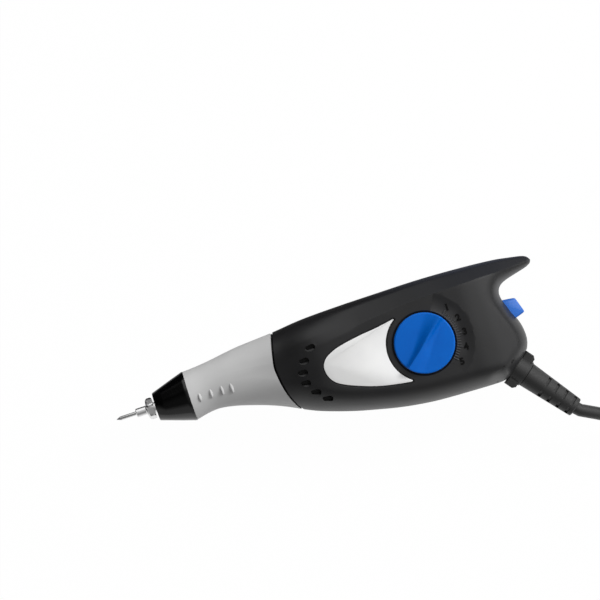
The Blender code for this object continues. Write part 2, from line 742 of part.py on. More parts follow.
def housing_lumps(side, parent):
    bm = bmesh.new()
    outer = SCREW_HEAD_R + FIT + BOSS_WALL if side < 0 else SCREW_R + FIT + BOSS_WALL
    for at in screw_places():
        post(bm, at, outer, side, FIT / 2)
    face = CORE_Z + side * CORE_THICK / 2 + side * FIT
    for low, high in core_corners():
        rib(bm, low, high, side, side * face)
    pin = (ARMATURE_X + ARMATURE_THICK / 2, ARMATURE_PIVOT_Y)
    post(bm, pin, PIN_R + FIT + BOSS_WALL, side, side * (CORE_Z + side * (CORE_THICK / 2 + FIT)))
    bulkhead(bm, side, REAR_BUSH_X + BULKHEAD, REAR_BUSH_R + FIT, BULKHEAD, WALL - LAP)
    depth = SLEEVE_WALL + FIT + WALL - LAP
    bulkhead(bm, side, NECK_START + BULKHEAD, FRONT_BUSH_R + FIT, BULKHEAD, depth)
    if side < 0:
        for at in clamp_places():
            post(bm, at[:2], CLAMP_POST_R, side, -CORD_R)
    if side > 0:
        well = DIAL_R + DIAL_GAP + WALL
        prism(bm, circle(DIAL_AT, well, FINE_ROUND), WELL_Z - WELL_FLOOR, HALF_WIDTH - LAP)
        guide_lumps(bm)
    return tool(f"housing_lumps_{side}", bm, parent)


def guide_lumps(bm):
    """Two rails that hold the follower in line with the cam."""
    start = follower_start() + (FOLLOWER_LENGTH - GUIDE_LENGTH) / 2
    root = WELL_Z - WELL_FLOOR + LAP
    for side in (1, -1):
        near = DIAL_AT[1] + side * (FOLLOWER_WIDTH / 2 + FIT)
        far = near + side * GUIDE_WALL
        low = (start, min(near, far), CAM_TOP - CAM_THICK)
        high = (start + GUIDE_LENGTH, max(near, far), root)
        block(bm, low, high)
    low = (start, DIAL_AT[1] - FOLLOWER_WIDTH, CAM_TOP + FIT)
    block(bm, low, (start + GUIDE_LENGTH, DIAL_AT[1] + FOLLOWER_WIDTH, root))


def follower_start():
    return DIAL_AT[0] - (CAM_R - CAM_RISE) - FIT - FOLLOWER_LENGTH


def housing_cuts(side, parent):
    bm = bmesh.new()
    for at in screw_places():
        if side < 0:
            prism(bm, circle(at, SCREW_HEAD_R + FIT, BOSS_ROUND), -HALF_WIDTH - OVERRUN, -SCREW_SEAT)
            prism(bm, circle(at, SCREW_R + FIT, BOSS_ROUND), -SCREW_SEAT - OVERRUN / 4, OVERRUN)
        else:
            prism(bm, circle(at, SCREW_R + FIT, BOSS_ROUND), -OVERRUN, SCREW_REACH + OVERRUN / 2)
    pin = (ARMATURE_X + ARMATURE_THICK / 2, ARMATURE_PIVOT_Y)
    face = CORE_Z + side * (CORE_THICK / 2 + FIT)
    ends = sorted((face - side * OVERRUN, face + side * (PIN_REACH + FIT)))
    prism(bm, circle(pin, PIN_R + FIT, PIN_ROUND), *ends)
    if side < 0:
        for at in clamp_places():
            prism(bm, circle(at[:2], CLAMP_SCREW_R + FIT, 12), -3 * CLAMP_SCREW_R, CORD_R + OVERRUN)
    back, bore, wide = -GUARD_BACK - FIT, GUARD_NECK_R + FIT, GUARD_COLLAR_R + FIT
    deep = -GUARD_BASE - OVERRUN / 2
    seat = [(deep, 0), (deep, bore), (back, bore), (back, wide), (GUARD_BASE, wide), (GUARD_BASE, 0)]
    merge(bm, lathe(bmesh.new(), seat), guard_frame())
    thick = GUARD_WING_THICK / 2 + FIT
    merge(bm, prism(bmesh.new(), wing_outline(FIT, GUARD_BASE), -thick, thick), guard_frame())
    return tool(f"housing_cuts_{side}", bm, parent)


def merge(bm, other, matrix=None):
    """Adds another bmesh, moved by a matrix, and frees it."""
    if matrix:
        other.transform(matrix)
    mesh = bpy.data.meshes.new("part")
    other.to_mesh(mesh)
    other.free()
    bm.from_mesh(mesh)
    bpy.data.meshes.remove(mesh)
    return bm


def housing_half(side, look, parent):
    name = "housing_left" if side > 0 else "housing_right"
    made = solid(name, half_shell(side), look, parent, sharp=28)
    combine(made, housing_lumps(side, parent), "UNION")
    combine(made, housing_cuts(side, parent), "DIFFERENCE")
    if side > 0:
        combine(made, dial_cuts(parent), "DIFFERENCE")
    combine(made, face_cuts(side, parent), "DIFFERENCE")
    combine(made, switch_cuts(side, parent), "DIFFERENCE")
    return made




def dial_cuts(parent):
    """The dial's well and its bearing, open right through the wall."""
    bm = bmesh.new()
    prism(bm, circle(DIAL_AT, DIAL_R + DIAL_GAP, FINE_ROUND), WELL_Z, HALF_WIDTH + OVERRUN)
    prism(bm, circle(DIAL_AT, DIAL_SHAFT_R + FIT), WELL_Z - WELL_FLOOR - OVERRUN, WELL_Z + OVERRUN / 2)
    return tool("dial_cuts", bm, parent)


def sector(bm, inner, outer, start, end, low, high, steps=14):
    turn = np.linspace(start, end, steps)
    ring = [DIAL_AT + outer * np.array((math.cos(a), math.sin(a))) for a in turn]
    ring += [DIAL_AT + inner * np.array((math.cos(a), math.sin(a))) for a in turn[::-1]]
    prism(bm, ring, low, high)


def face_cuts(side, parent):
    """Blind cuts in the side face: the vents, and on the dial side the plate's seat and the scale's."""
    bm = bmesh.new()
    for at, lean in slot_outlines():
        top = float(skin_height(at)) - VENT_DEEP
        ends = sorted((side * top, side * (HALF_WIDTH + OVERRUN)))
        prism(bm, stadium(at, VENT_LENGTH, VENT_WIDTH, lean), *ends)
    if side > 0:
        prism(bm, plate_outline(PLATE_GROOVE), HALF_WIDTH - PLATE_DEEP, HALF_WIDTH + OVERRUN)
        sector(bm, RING_IN, RING_OUT, RING_START, RING_END, HALF_WIDTH - RING_DEEP, HALF_WIDTH + OVERRUN)
    return tool(f"face_cuts_{side}", bm, parent)


def switch_cuts(side, parent):
    """The slot that the switch's stem slides in, half in each half of the housing."""
    bm = bmesh.new()
    wide = SWITCH_STEM / 2 + FIT
    block(bm, (-wide, -OVERRUN, -wide), (wide + SWITCH_TRAVEL, WALL + OVERRUN, wide), switch_frame())
    return tool(f"switch_cuts_{side}", bm, parent)


def grip_sleeve(look, parent):
    outer = [sleeve_ring(k / SLEEVE_STATIONS, 0.0) for k in range(SLEEVE_STATIONS + 1)]
    inner = [sleeve_ring(k / SLEEVE_STATIONS, SLEEVE_WALL) for k in range(SLEEVE_STATIONS, -1, -1)]
    made = solid("grip_sleeve", loft(bmesh.new(), outer + inner), look, parent)
    ribs = bmesh.new()
    for x, y, tall in RIB_SHARES:
        at, half = place((x, y)), tall * HEEL_DROP / 2
        top = float(skin_height([(at[0], at[1] + half), (at[0], at[1] - half)]).min())
        high = float(skin_height(at)) + RIB_PROUD
        for side in (1, -1):
            ends = sorted((side * (top - RIB_PROUD), side * high))
            prism(ribs, stadium(at, 2 * half, RIB_WIDTH, math.pi / 2), *ends)
    combine(made, tool("grip_ribs", ribs, parent), "UNION")
    return made


# Nose, chuck and point.
def nose_cap(look, parent):
    rear_x, rear_r = BODY_START - FIT, TOP_SHARES[0][1] * SPINE_RISE
    outer = [(CAP_FRONT + x * (rear_x - CAP_FRONT), r * rear_r) for x, r in CAP_STEP_SHARES]
    seat, recess_r = rear_r - SLEEVE_WALL, CHUCK_FLANGE_R + FIT
    stop = NECK_START - FIT
    recess = CHUCK_FLANGE_X + CHUCK_FLANGE_LENGTH + STROKE + FIT
    bore = [(rear_x, seat), (stop, seat), (stop, CAP_BORE_R), (recess, CAP_BORE_R)]
    inner = bore + [(recess, recess_r), (CAP_FRONT, recess_r)]
    bm = turned(outer + inner, FINE_ROUND)
    oval = WIDTH_SHARES[0][1] * HALF_WIDTH / rear_r
    bm.transform(Matrix.Diagonal((1, 1, oval, 1)))
    return solid("nose_cap", bm, look, parent, at=(CAP_FRONT, 0, 0))


def front_bush(look, parent):
    r, bore = FRONT_BUSH_R, SPINDLE_R + FIT
    x0, x1 = NECK_START + FIT, NECK_START + FIT + BUSH_LENGTH
    seat = NECK_START + BULKHEAD / 2 - FIT
    bm = turned([(x0, bore), (x0, r + FIT + FIT), (seat, r + FIT + FIT), (seat, r), (x1, r), (x1, bore)])
    return solid("front_bush", bm, look, parent, at=(x0, 0, 0))


def rear_bush(look, parent):
    bore, r = SPINDLE_R + FIT, REAR_BUSH_R
    x0, x1 = REAR_BUSH_X, REAR_BUSH_X + BULKHEAD * 2
    flange = r + BULKHEAD / 4
    front = x0 + BULKHEAD / 2 - FIT
    bm = turned([(x0, bore), (x0, flange), (front, flange), (front, r), (x1, r), (x1, bore)])
    return solid("rear_bush", bm, look, parent, at=(x0, 0, 0))


def spindle(look, parent):
    end = ARMATURE_X - FIT
    bore_end = SPINDLE_FRONT + SPINDLE_BORE_LENGTH
    stub = SPINDLE_FRONT + SPINDLE_STUB_LENGTH
    bored = [(bore_end, 0), (bore_end, SPINDLE_BORE_R), (SPINDLE_FRONT, SPINDLE_BORE_R)]
    shank = [(SPINDLE_FRONT, SPINDLE_STUB_R), (stub, SPINDLE_STUB_R), (stub, SPINDLE_R)]
    collar = [(COLLAR_X, SPINDLE_R), (COLLAR_X, COLLAR_R),
              (COLLAR_X + COLLAR_LENGTH, COLLAR_R), (COLLAR_X + COLLAR_LENGTH, SPINDLE_R)]
    profile = bored + shank + collar + [(end - SPINDLE_R / 2, SPINDLE_R), (end, SPINDLE_R / 2), (end, 0)]
    return solid("spindle", turned(profile), look, parent, at=(SPINDLE_FRONT, 0, 0))


def nut_ring(x, r, flats=False):
    """Points round the spindle's line: a circle, or a hexagon of which r is the corners' radius."""
    points = []
    for k in range(NUT_ROUND):
        a = 2 * math.pi * k / NUT_ROUND
        past = a % (math.pi / 3) - math.pi / 6
        reach = r * math.cos(math.pi / 6) / math.cos(past) if flats else r
        points.append((x, reach * math.sin(a + CHUCK_REST), reach * math.cos(a + CHUCK_REST)))
    return points


def chuck_nut(look, parent):
    """A collar on a hexagonal nut: it turns on the spindle's threaded stub and grips the point."""
    bore, stub = POINT_R + FIT, SPINDLE_STUB_R + FIT
    x0, x1 = CHUCK_FRONT, CHUCK_FLANGE_X
    x2, wall = x1 + CHUCK_FLANGE_LENGTH, SPINDLE_FRONT - FIT
    chamfer = CHUCK_R / 4
    collar = [nut_ring(x0, bore), nut_ring(x0, CHUCK_R - chamfer), nut_ring(x0 + chamfer, CHUCK_R)]
    neck = [nut_ring(x1, CHUCK_R), nut_ring(x1, CHUCK_R + 2 * chamfer, True)]
    nut = [nut_ring(x1 + CHUCK_BEVEL, CHUCK_FLANGE_R, True), nut_ring(x2, CHUCK_FLANGE_R, True)]
    inside = [nut_ring(x2, stub), nut_ring(wall, stub), nut_ring(wall, bore)]
    bm = loft(bmesh.new(), collar + neck + nut + inside)
    return solid("chuck_nut", bm, look, parent, at=(x0, 0, 0))


def engraving_point(look, parent):
    start = POINT_CONE + FIT
    profile = [(start, 0), (start, POINT_R), (POINT_LENGTH, POINT_R), (POINT_LENGTH, 0)]
    return solid("engraving_point", turned(profile, 16), look, parent, at=(start, 0, 0))


def carbide_tip(look, parent):
    flat = POINT_CONE / 6
    cone = [(0, 0), (0, POINT_TIP_R), (POINT_CONE - flat, POINT_R)]
    profile = cone + [(POINT_CONE, POINT_R), (POINT_CONE, 0)]
    return solid("carbide_tip", turned(profile, 16), look, parent)


def return_spring(look, parent):
    start, end = COLLAR_X + COLLAR_LENGTH + FIT + SPRING_WIRE_R, REAR_BUSH_X - FIT - SPRING_WIRE_R
    bm = spring(bmesh.new(), start, end, SPRING_R, SPRING_WIRE_R, SPRING_CURLS)
    return solid("return_spring", bm, look, parent, at=(start, 0, 0), sharp=60)


# Field magnet and armature.
def field_core(look, parent):
    """The stack of E plates: a back with three limbs that reach forward to the armature."""
    x0, x1 = CORE_X, CORE_X + CORE_LENGTH
    half, limb, side = CORE_HEIGHT / 2, CORE_LIMB / 2, CORE_SIDE
    back = x1 - side
    upper = [(x1, half), (x0, half), (x0, half - side), (back, half - side), (back, limb), (x0, limb)]
    outline = [(x, CORE_Y + y) for x, y in upper] + [(x, CORE_Y - y) for x, y in reversed(upper)]
    bm = prism(bmesh.new(), outline, CORE_Z - CORE_THICK / 2, CORE_Z + CORE_THICK / 2)
    made = solid("field_core", bm, look, parent, at=(x0, CORE_Y, CORE_Z))
    holes = bmesh.new()
    for at in rivet_places():
        prism(holes, circle(at, RIVET_R + FIT, BOSS_ROUND), CORE_Z - CORE_THICK, CORE_Z + CORE_THICK)
    return combine(made, tool("rivet_holes", holes, parent), "DIFFERENCE")


def rivet_places():
    x = CORE_X + CORE_LENGTH - CORE_SIDE / 2
    return [(x, CORE_Y + side * CORE_LIMB / 2) for side in (1, -1)]


def rivet(number, at, look, parent):
    half = CORE_THICK / 2 + FIT
    end = half + RIVET_HEAD
    head = [(end, 0), (end, RIVET_HEAD_R / 2), (half, RIVET_HEAD_R), (half, RIVET_R)]
    profile = [(-x, r) for x, r in head] + head[::-1]
    bm = turned(profile, BOSS_ROUND)
    bm.transform(Matrix.Translation((*at, CORE_Z)) @ Matrix.Rotation(math.pi / 2, 4, "Y"))
    return solid(f"core_rivet_{number}", bm, look, parent, at=(*at, CORE_Z))


def box_ring(x, centre, y, z):
    """The four corners of a rectangle square to X, from its half sizes."""
    return [(x, centre[0] + a * y, centre[1] + b * z) for a, b in ((1, 1), (-1, 1), (-1, -1), (1, -1))]


def tube_along_x(bm, x0, x1, inner, outer, centre):
    """A rectangular tube along X, from half sizes in Y and Z."""
    ends = ((x0, inner), (x0, outer), (x1, outer), (x1, inner))
    return loft(bm, [box_ring(x, centre, *half) for x, half in ends])


def bobbin_half():
    return (CORE_LIMB / 2 + FIT, CORE_THICK / 2 + FIT)


def coil_bobbin(look, parent):
    y, z = bobbin_half()
    x0, x1 = CORE_X + FIT, CORE_X + CORE_LENGTH - CORE_SIDE - FIT
    centre = (CORE_Y, CORE_Z)
    wall, cheek = BOBBIN_WALL, BOBBIN_WALL + WINDING_DEPTH
    steps = ((x0, 0), (x0, cheek), (x0 + BOBBIN_CHEEK, cheek), (x0 + BOBBIN_CHEEK, wall),
             (x1 - BOBBIN_CHEEK, wall), (x1 - BOBBIN_CHEEK, cheek), (x1, cheek), (x1, 0))
    rings = [box_ring(x, centre, y + grow, z + grow) for x, grow in steps]
    return solid("coil_bobbin", loft(bmesh.new(), rings), look, parent, at=(x0, *centre))


def field_winding(look, parent):
    y, z = bobbin_half()
    x0 = CORE_X + 2 * FIT + BOBBIN_CHEEK
    x1 = CORE_X + CORE_LENGTH - CORE_SIDE - BOBBIN_CHEEK - 2 * FIT
    near, far = BOBBIN_WALL + FIT, BOBBIN_WALL + WINDING_DEPTH - FIT
    bm = tube_along_x(bmesh.new(), x0, x1, (y + near, z + near), (y + far, z + far), (CORE_Y, CORE_Z))
    return solid("field_winding", bm, look, parent, at=(x0, CORE_Y, CORE_Z))


def armature_pivot():
    return (ARMATURE_X + ARMATURE_THICK / 2, ARMATURE_PIVOT_Y)


def armature(look, parent):
    """The swinging keeper: an eye on the pin, a plate across the poles and a tab up to the stroke stop."""
    pivot, half = armature_pivot(), ARMATURE_THICK / 2
    low, high = CORE_Z - CORE_THICK / 2, CORE_Z + CORE_THICK / 2
    open_to = math.acos(half / ARMATURE_EYE_R)
    eye = [(pivot[0] + ARMATURE_EYE_R * math.cos(a), pivot[1] + ARMATURE_EYE_R * math.sin(a))
           for a in np.linspace(-open_to, math.pi + open_to, PIN_ROUND)]
    foot = [(pivot[0] - half, ARMATURE_FOOT_Y), (pivot[0] + half, ARMATURE_FOOT_Y)]
    outline = eye + foot
    made = solid("armature", prism(bmesh.new(), outline, low, high), look, parent, at=(*pivot, CORE_Z))
    tab = block(bmesh.new(), (pivot[0] - TAB_THICK / 2, DIAL_AT[1] - TAB_WIDTH / 2, high - TAB_THICK),
                (pivot[0] + TAB_THICK / 2, DIAL_AT[1] + TAB_WIDTH / 2, TAB_TOP))
    combine(made, tool("armature_tab", tab, parent), "UNION")
    hole = prism(bmesh.new(), circle(pivot, PIN_R + FIT, PIN_ROUND), low - OVERRUN, high + OVERRUN)
    return combine(made, tool("armature_eye", hole, parent), "DIFFERENCE")


def armature_pin(look, parent):
    half = CORE_THICK / 2 + PIN_REACH
    bm = prism(bmesh.new(), circle(armature_pivot(), PIN_R, 16), CORE_Z - half, CORE_Z + half)
    return solid("armature_pin", bm, look, parent, at=(*armature_pivot(), CORE_Z))


# Stroke dial.
def scoops(parent):
    """Two hollows beside the dial's grip, shifted along it so that the ridge between them is an S."""
    bm = bmesh.new()
    lean = Matrix.Translation((*DIAL_AT, HALF_WIDTH + DIAL_PROUD)) @ Matrix.Rotation(DIAL_REST, 4, "Z")
    for side in (1, -1):
        made = bmesh.new()
        bmesh.ops.create_uvsphere(made, u_segments=20, v_segments=12, radius=1.0)
        size = Matrix.Diagonal((SCOOP_ALONG, SCOOP_ACROSS, SCOOP_DEEP, 1))
        merge(bm, made, lean @ Matrix.Translation((-side * SCOOP_SHIFT, side * SCOOP_OUT, 0)) @ size)
    return tool("dial_scoops", bm, parent)


def stroke_dial(look, parent):
    top, low = HALF_WIDTH + DIAL_PROUD, WELL_Z + FIT
    end = CAM_TOP + FIT
    shaft = [(end, 0), (end, DIAL_SHAFT_R), (low, DIAL_SHAFT_R)]
    knob = [(low, DIAL_R), (top - DIAL_EDGE, DIAL_R), (top, DIAL_R - DIAL_EDGE), (top, 0)]
    bm = turned(shaft + knob, FINE_ROUND)
    bm.transform(Matrix.Translation((*DIAL_AT, 0)) @ Matrix.Rotation(-math.pi / 2, 4, "Y"))
    made = solid("stroke_dial", bm, look, parent, at=(*DIAL_AT, HALF_WIDTH))
    return combine(made, scoops(parent), "DIFFERENCE")


def dial_cam(look, parent):
    """A spiral cam: it grows evenly past the follower from the dial's first mark to its last."""
    outline = []
    for k in range(CAM_ROUND):
        a = 2 * math.pi * k / CAM_ROUND - math.pi
        past = (a + 2 * math.pi) % (2 * math.pi) - math.pi
        r = CAM_R - CAM_RISE + CAM_RISE * max(0, min(1, past / DIAL_TURN))
        outline.append((DIAL_AT[0] + r * math.cos(a), DIAL_AT[1] + r * math.sin(a)))
    bm = prism(bmesh.new(), outline, CAM_TOP - CAM_THICK, CAM_TOP)
    return solid("dial_cam", bm, look, parent, at=(*DIAL_AT, CAM_TOP))


def dial_clip(look, parent):
    top = WELL_Z - WELL_FLOOR - FIT
    low, bore = top - CLIP_THICK, DIAL_SHAFT_R + FIT
    bm = turned([(low, bore), (low, CLIP_R), (top, CLIP_R), (top, bore)])
    bm.transform(Matrix.Translation((*DIAL_AT, 0)) @ Matrix.Rotation(-math.pi / 2, 4, "Y"))
    return solid("dial_clip", bm, look, parent, at=(*DIAL_AT, top))


def cam_follower(look, parent):
    x0, y = follower_start(), DIAL_AT[1]
    half = FOLLOWER_WIDTH / 2
    bm = block(bmesh.new(), (x0, y - half, CAM_TOP - CAM_THICK), (x0 + FOLLOWER_LENGTH, y + half, CAM_TOP))
    return solid("cam_follower", bm, look, parent, at=(x0, y, CAM_TOP))


def stroke_spring(look, parent):
    start = armature_pivot()[0] + TAB_THICK / 2 + FIT + SPRING_WIRE_R
    end = follower_start() - FIT - SPRING_WIRE_R
    r = FOLLOWER_WIDTH / 2 - SPRING_WIRE_R
    bm = spring(bmesh.new(), start, end, r, SPRING_WIRE_R, 4)
    bm.transform(Matrix.Translation((0, DIAL_AT[1], CAM_TOP - CAM_THICK / 2)))
    return solid("stroke_spring", bm, look, parent, at=(end, DIAL_AT[1], CAM_TOP - CAM_THICK / 2), sharp=60)


def name_plate(look, parent):
    low = HALF_WIDTH - PLATE_DEEP + FIT
    bm = prism(bmesh.new(), [tuple(p) for p in plate_outline()], low, low + PLATE_THICK)
    return solid("name_plate", bm, look, parent, at=(*DIAL_AT, low))


# Switch.
def switch_foot():
    """The thumb piece's underside: it follows the rear face and stays clear of it over the whole travel."""
    frame = switch_frame()
    local = np.array([frame.inverted() @ Vector((x, y, 0)) for x, y in REAR.line])
    local = local[np.argsort(local[:, 0])] if local[0, 0] > local[-1, 0] else local
    near = local[abs(local[:, 0]) < SWITCH_LENGTH + SWITCH_TRAVEL]
    points = []
    for x in np.linspace(-SWITCH_LENGTH / 2, SWITCH_LENGTH / 2, 7):
        reach = np.linspace(x, x + SWITCH_TRAVEL, 7)
        deep = float(np.interp(reach, near[:, 0], near[:, 1]).min())
        points.append((float(x), min(deep, SWITCH_PROUD / 4) - SWITCH_CLEAR))
    return points


def switch_slider(look, parent):
    """The thumb piece on the rear face: a slanted cap with grooves, and a stem through the housing."""
    frame = switch_frame()
    half, wide = SWITCH_LENGTH / 2, SWITCH_WIDTH / 2
    soft, top = SWITCH_PROUD / 6, -SWITCH_PROUD
    foot = switch_foot()
    front = half - SWITCH_SLOPE
    head = [(front + soft / 4, top + soft), (front - soft, top), (soft - half, top), (-half, top + soft)]
    bm = bmesh.new()
    prism(bm, foot + head, -wide, wide)
    bm.transform(frame)
    made = solid("switch_slider", bm, look, parent, at=frame.translation)
    stem = block(bmesh.new(), (-SWITCH_STEM / 2, -SWITCH_SKIRT, -SWITCH_STEM / 2),
                 (SWITCH_STEM / 2, WALL + SWITCH_BODY_SET - FIT, SWITCH_STEM / 2), frame)
    combine(made, tool("switch_stem", stem, parent), "UNION")
    grooves = bmesh.new()
    pitch = (SWITCH_LENGTH - SWITCH_SLOPE) / (SWITCH_GROOVES + 1)
    inset = wide - SWITCH_SKIRT
    for k in range(SWITCH_GROOVES):
        x = pitch * (k + 1) - half
        low = (x - SWITCH_GROOVE, top - OVERRUN, -inset)
        high = (x + SWITCH_GROOVE, top + SWITCH_GROOVE, inset)
        block(grooves, low, high, frame)
    return combine(made, tool("switch_grooves", grooves, parent), "DIFFERENCE")


def switch_body(look, parent):
    """The enclosed contact block just inside the rear wall."""
    low, half = WALL + SWITCH_BODY_SET, SWITCH_BODY / 2
    wide = SWITCH_STEM + WALL / 2
    bm = block(bmesh.new(), (-half, low, -wide), (half, low + SWITCH_BODY_DEEP, wide), switch_frame())
    return solid("switch_body", bm, look, parent, at=switch_frame().translation)


# Screws.
def housing_screw(number, at, look, parent):
    seat = -SCREW_SEAT - FIT
    end = seat - SCREW_HEAD
    head = [(end, 0), (end, SCREW_CROWN_R), (seat - SCREW_HEAD / 2, SCREW_HEAD_R), (seat, SCREW_HEAD_R)]
    profile = head + [(seat, SCREW_R), (SCREW_REACH, SCREW_R), (SCREW_REACH, 0)]
    bm = turned(profile, BOSS_ROUND)
    bm.transform(Matrix.Translation((*at, 0)) @ Matrix.Rotation(-math.pi / 2, 4, "Y"))
    return solid(f"housing_screw_{number}", bm, look, parent, at=(*at, seat))


# Cord guard and cord.
def wing_outline(grow=0.0, front=None):
    """The guard's base seen from the side: square behind, with its outer corners taken off."""
    back, wide = FIT - GUARD_BACK - grow, GUARD_WING_R + grow
    front = GUARD_WING_FRONT if front is None else front
    slope = (GUARD_WING_R - GUARD_COLLAR_R) / 2
    low = [(back, -wide), (front, -wide), (front + slope, slope - wide)]
    return low + [(x, -y) for x, y in reversed(low)]


def cord_guard(look, parent):
    """The moulded rubber sleeve: a winged base held in the housing and a slotted, tapering tube."""
    end, mid = GUARD_BASE / 2 + GUARD_LENGTH, GUARD_BASE / 2
    neck = [(-GUARD_BASE, 0), (-GUARD_BASE, GUARD_NECK_R), (-GUARD_BACK, GUARD_NECK_R)]
    collar = [(-GUARD_BACK, GUARD_COLLAR_R), (mid - FIT, GUARD_COLLAR_R)]
    bm = turned(neck + collar + [(mid, GUARD_R), (end, GUARD_TIP_R), (end, 0)], ROUND)
    bm.transform(guard_frame())
    made = solid("cord_guard", bm, look, parent, at=guard_frame().translation)
    wings = prism(bmesh.new(), wing_outline(), -GUARD_WING_THICK / 2, GUARD_WING_THICK / 2)
    wings.transform(guard_frame())
    combine(made, tool("guard_wings", wings, parent), "UNION")
    slots = bmesh.new()
    start = mid + GUARD_SLOT_START
    half, reach = GUARD_SLOT_WIDTH / 2, GUARD_SLOT_LENGTH / 2
    for row in range(4):
        turn = Matrix.Rotation(GUARD_SLOT_TURN + row * math.pi / 2, 4, "X")
        for k in range(GUARD_SLOTS):
            x = start + GUARD_PITCH * k
            r = GUARD_R + (GUARD_TIP_R - GUARD_R) * (x - mid) / GUARD_LENGTH
            low, high = (x - half, -reach, r - GUARD_SLOT_DEEP), (x + half, reach, r + OVERRUN)
            cutter = block(bmesh.new(), low, high)
            merge(slots, cutter, guard_frame() @ turn)
    return combine(made, tool("guard_slots", slots, parent), "DIFFERENCE")


def clamp_places():
    x = -GUARD_BASE - CLAMP_SET - CLAMP_LENGTH / 2
    return [guard_frame() @ Vector((x, side * CLAMP_SCREW_AT, 0)) for side in (1, -1)]


def cord_inner(look, parent):
    x1 = -GUARD_BASE - FIT
    bm = turned([(x1 - CORD_INSIDE, 0), (x1 - CORD_INSIDE, CORD_R), (x1, CORD_R), (x1, 0)], 12)
    bm.transform(guard_frame())
    return solid("cord_inner", bm, look, parent, at=guard_frame().translation)


def cord_clamp(look, parent):
    x1 = -GUARD_BASE - CLAMP_SET
    low, wide = CORD_R + FIT, CLAMP_WIDTH / 2
    bm = block(bmesh.new(), (x1 - CLAMP_LENGTH, -wide, low), (x1, wide, low + CLAMP_THICK), guard_frame())
    made = solid("cord_clamp", bm, look, parent, at=guard_frame().translation)
    holes = bmesh.new()
    for at in clamp_places():
        prism(holes, circle(at[:2], CLAMP_SCREW_R + FIT, 12), 0, low + CLAMP_THICK + OVERRUN)
    return combine(made, tool("clamp_holes", holes, parent), "DIFFERENCE")


def clamp_screw(number, at, look, parent):
    top = CORD_R + FIT + CLAMP_THICK + FIT
    r, head = CLAMP_SCREW_R, 2 * CLAMP_SCREW_R
    profile = [(-head, 0), (-head, r), (top, r), (top, head), (top + r, head), (top + r, 0)]
    bm = turned(profile, BOSS_ROUND)
    bm.transform(Matrix.Translation((at[0], at[1], 0)) @ Matrix.Rotation(-math.pi / 2, 4, "Y"))
    return solid(f"clamp_screw_{number}", bm, look, parent, at=(at[0], at[1], top))


def tube(name, points, r, resolution, look, parent):
    """A round tube with filled ends along points, with its origin on the first."""
    curve = bpy.data.curves.new(name, "CURVE")
    curve.dimensions = "3D"
    curve.bevel_depth = r
    curve.bevel_resolution = resolution
    curve.use_fill_caps = True
    line = curve.splines.new("POLY")
    line.points.add(len(points) - 1)
    for point, at in zip(line.points, points):
        point.co = (*(Vector(at) - Vector(points[0])), 1.0)
    line.use_smooth = True
    curve.materials.append(look)
    made = bpy.data.objects.new(name, curve)
    bpy.context.scene.collection.objects.link(made)
    made.location = points[0]
    made.parent = parent
    return made


def route(ends, between):
    """Evenly spaced points of a smooth line that leaves and meets its ends square."""
    (start, out), (end, into) = ends
    lead = 2 * CORD_R
    knots = [start, start + out * lead, *[Vector(p) for p in between], end - into * lead, end]
    along = np.concatenate([[0], np.cumsum([(b - a).length for a, b in zip(knots, knots[1:])])])
    count = max(4, round(along[-1] / CORD_STEP))
    fine = np.linspace(0, along[-1], count + 1)
    columns = [smooth(list(zip(along, [p[k] for p in knots])), fine, monotone=False) for k in range(3)]
    return [Vector(p) for p in zip(*columns)]


def floor_z():
    """The height of a lying cord's centre in the tool's frame."""
    return CORD_R + CORD_CLEAR - HALF_WIDTH


def coil_points():
    """Two layers of loops: in to the middle on the floor, up in half a turn, and out again on top."""
    pitch = 2 * CORD_R + COIL_GAP
    count = round(COIL_TURNS * COIL_PER_TURN)
    points = []
    for k in range(count + 1):
        t = COIL_TURNS * k / count
        past = t - COIL_TURNS / 2
        r = COIL_R - pitch * (COIL_TURNS / 2 - abs(past))
        climb = min(1, max(0, past / COIL_CLIMB_TURNS + 1 / 2))
        a = COIL_START + 2 * math.pi * t
        high = floor_z() + pitch * climb * climb * (3 - 2 * climb)
        points.append(Vector((COIL_AT[0] + r * math.cos(a), COIL_AT[1] + r * math.sin(a), high)))
    first, last = (points[0] - points[1]).normalized(), (points[-1] - points[-2]).normalized()
    return [points[0] + first * 2 * CORD_R, *points, points[-1] + last * 2 * CORD_R]


def least_gap(points):
    """The least clear distance between turns of one tube, measured between its points' segments."""
    line = np.array([tuple(p) for p in points])
    fine = np.concatenate([line[:-1] + (line[1:] - line[:-1]) * k / 8 for k in range(8)])
    order = np.concatenate([np.arange(len(line) - 1) + k / 8 for k in range(8)])
    apart = np.linalg.norm(fine[:, None] - fine[None], axis=-1)
    apart[np.abs(order[:, None] - order[None]) < COIL_PER_TURN / 4] = np.inf
    return apart.min() - 2 * CORD_R


def cord(look, parent):
    frame = guard_frame()
    turn = frame.to_3x3()
    out = turn @ Vector((1, 0, 0))
    start = frame @ Vector((GUARD_BASE / 2 + GUARD_LENGTH + FIT, 0, 0))
    coil = coil_points()
    print(f"least gap between the coil's turns: {1000 * least_gap(coil):.2f} mm")
    into = (coil[1] - coil[0]).normalized()
    away = (coil[-1] - coil[-2]).normalized()
    ends = ((start, out), (coil[0] - into * FIT, into))
    lead = route(ends, [(x, y, -drop) for x, y, drop in LEAD_ROUTE])
    plug = Vector((*PLUG_AT, PLUG_THICK / 2 - HALF_WIDTH))
    ends = ((coil[-1] + away * FIT, away), (plug, Vector((-1, 0, 0))))
    tail = route(ends, [(x, y, -drop) for x, y, drop in TAIL_ROUTE])
    tube("cord_lead", lead, CORD_R, 2, look, parent)
    tube("cord_coil", coil, CORD_R, 1, look, parent)
    tube("cord_tail", tail, CORD_R, 2, look, parent)
    length = sum((b - a).length for line in (lead, coil, tail) for a, b in zip(line, line[1:]))
    print(f"cord length outside the guard: {length:.3f} m")


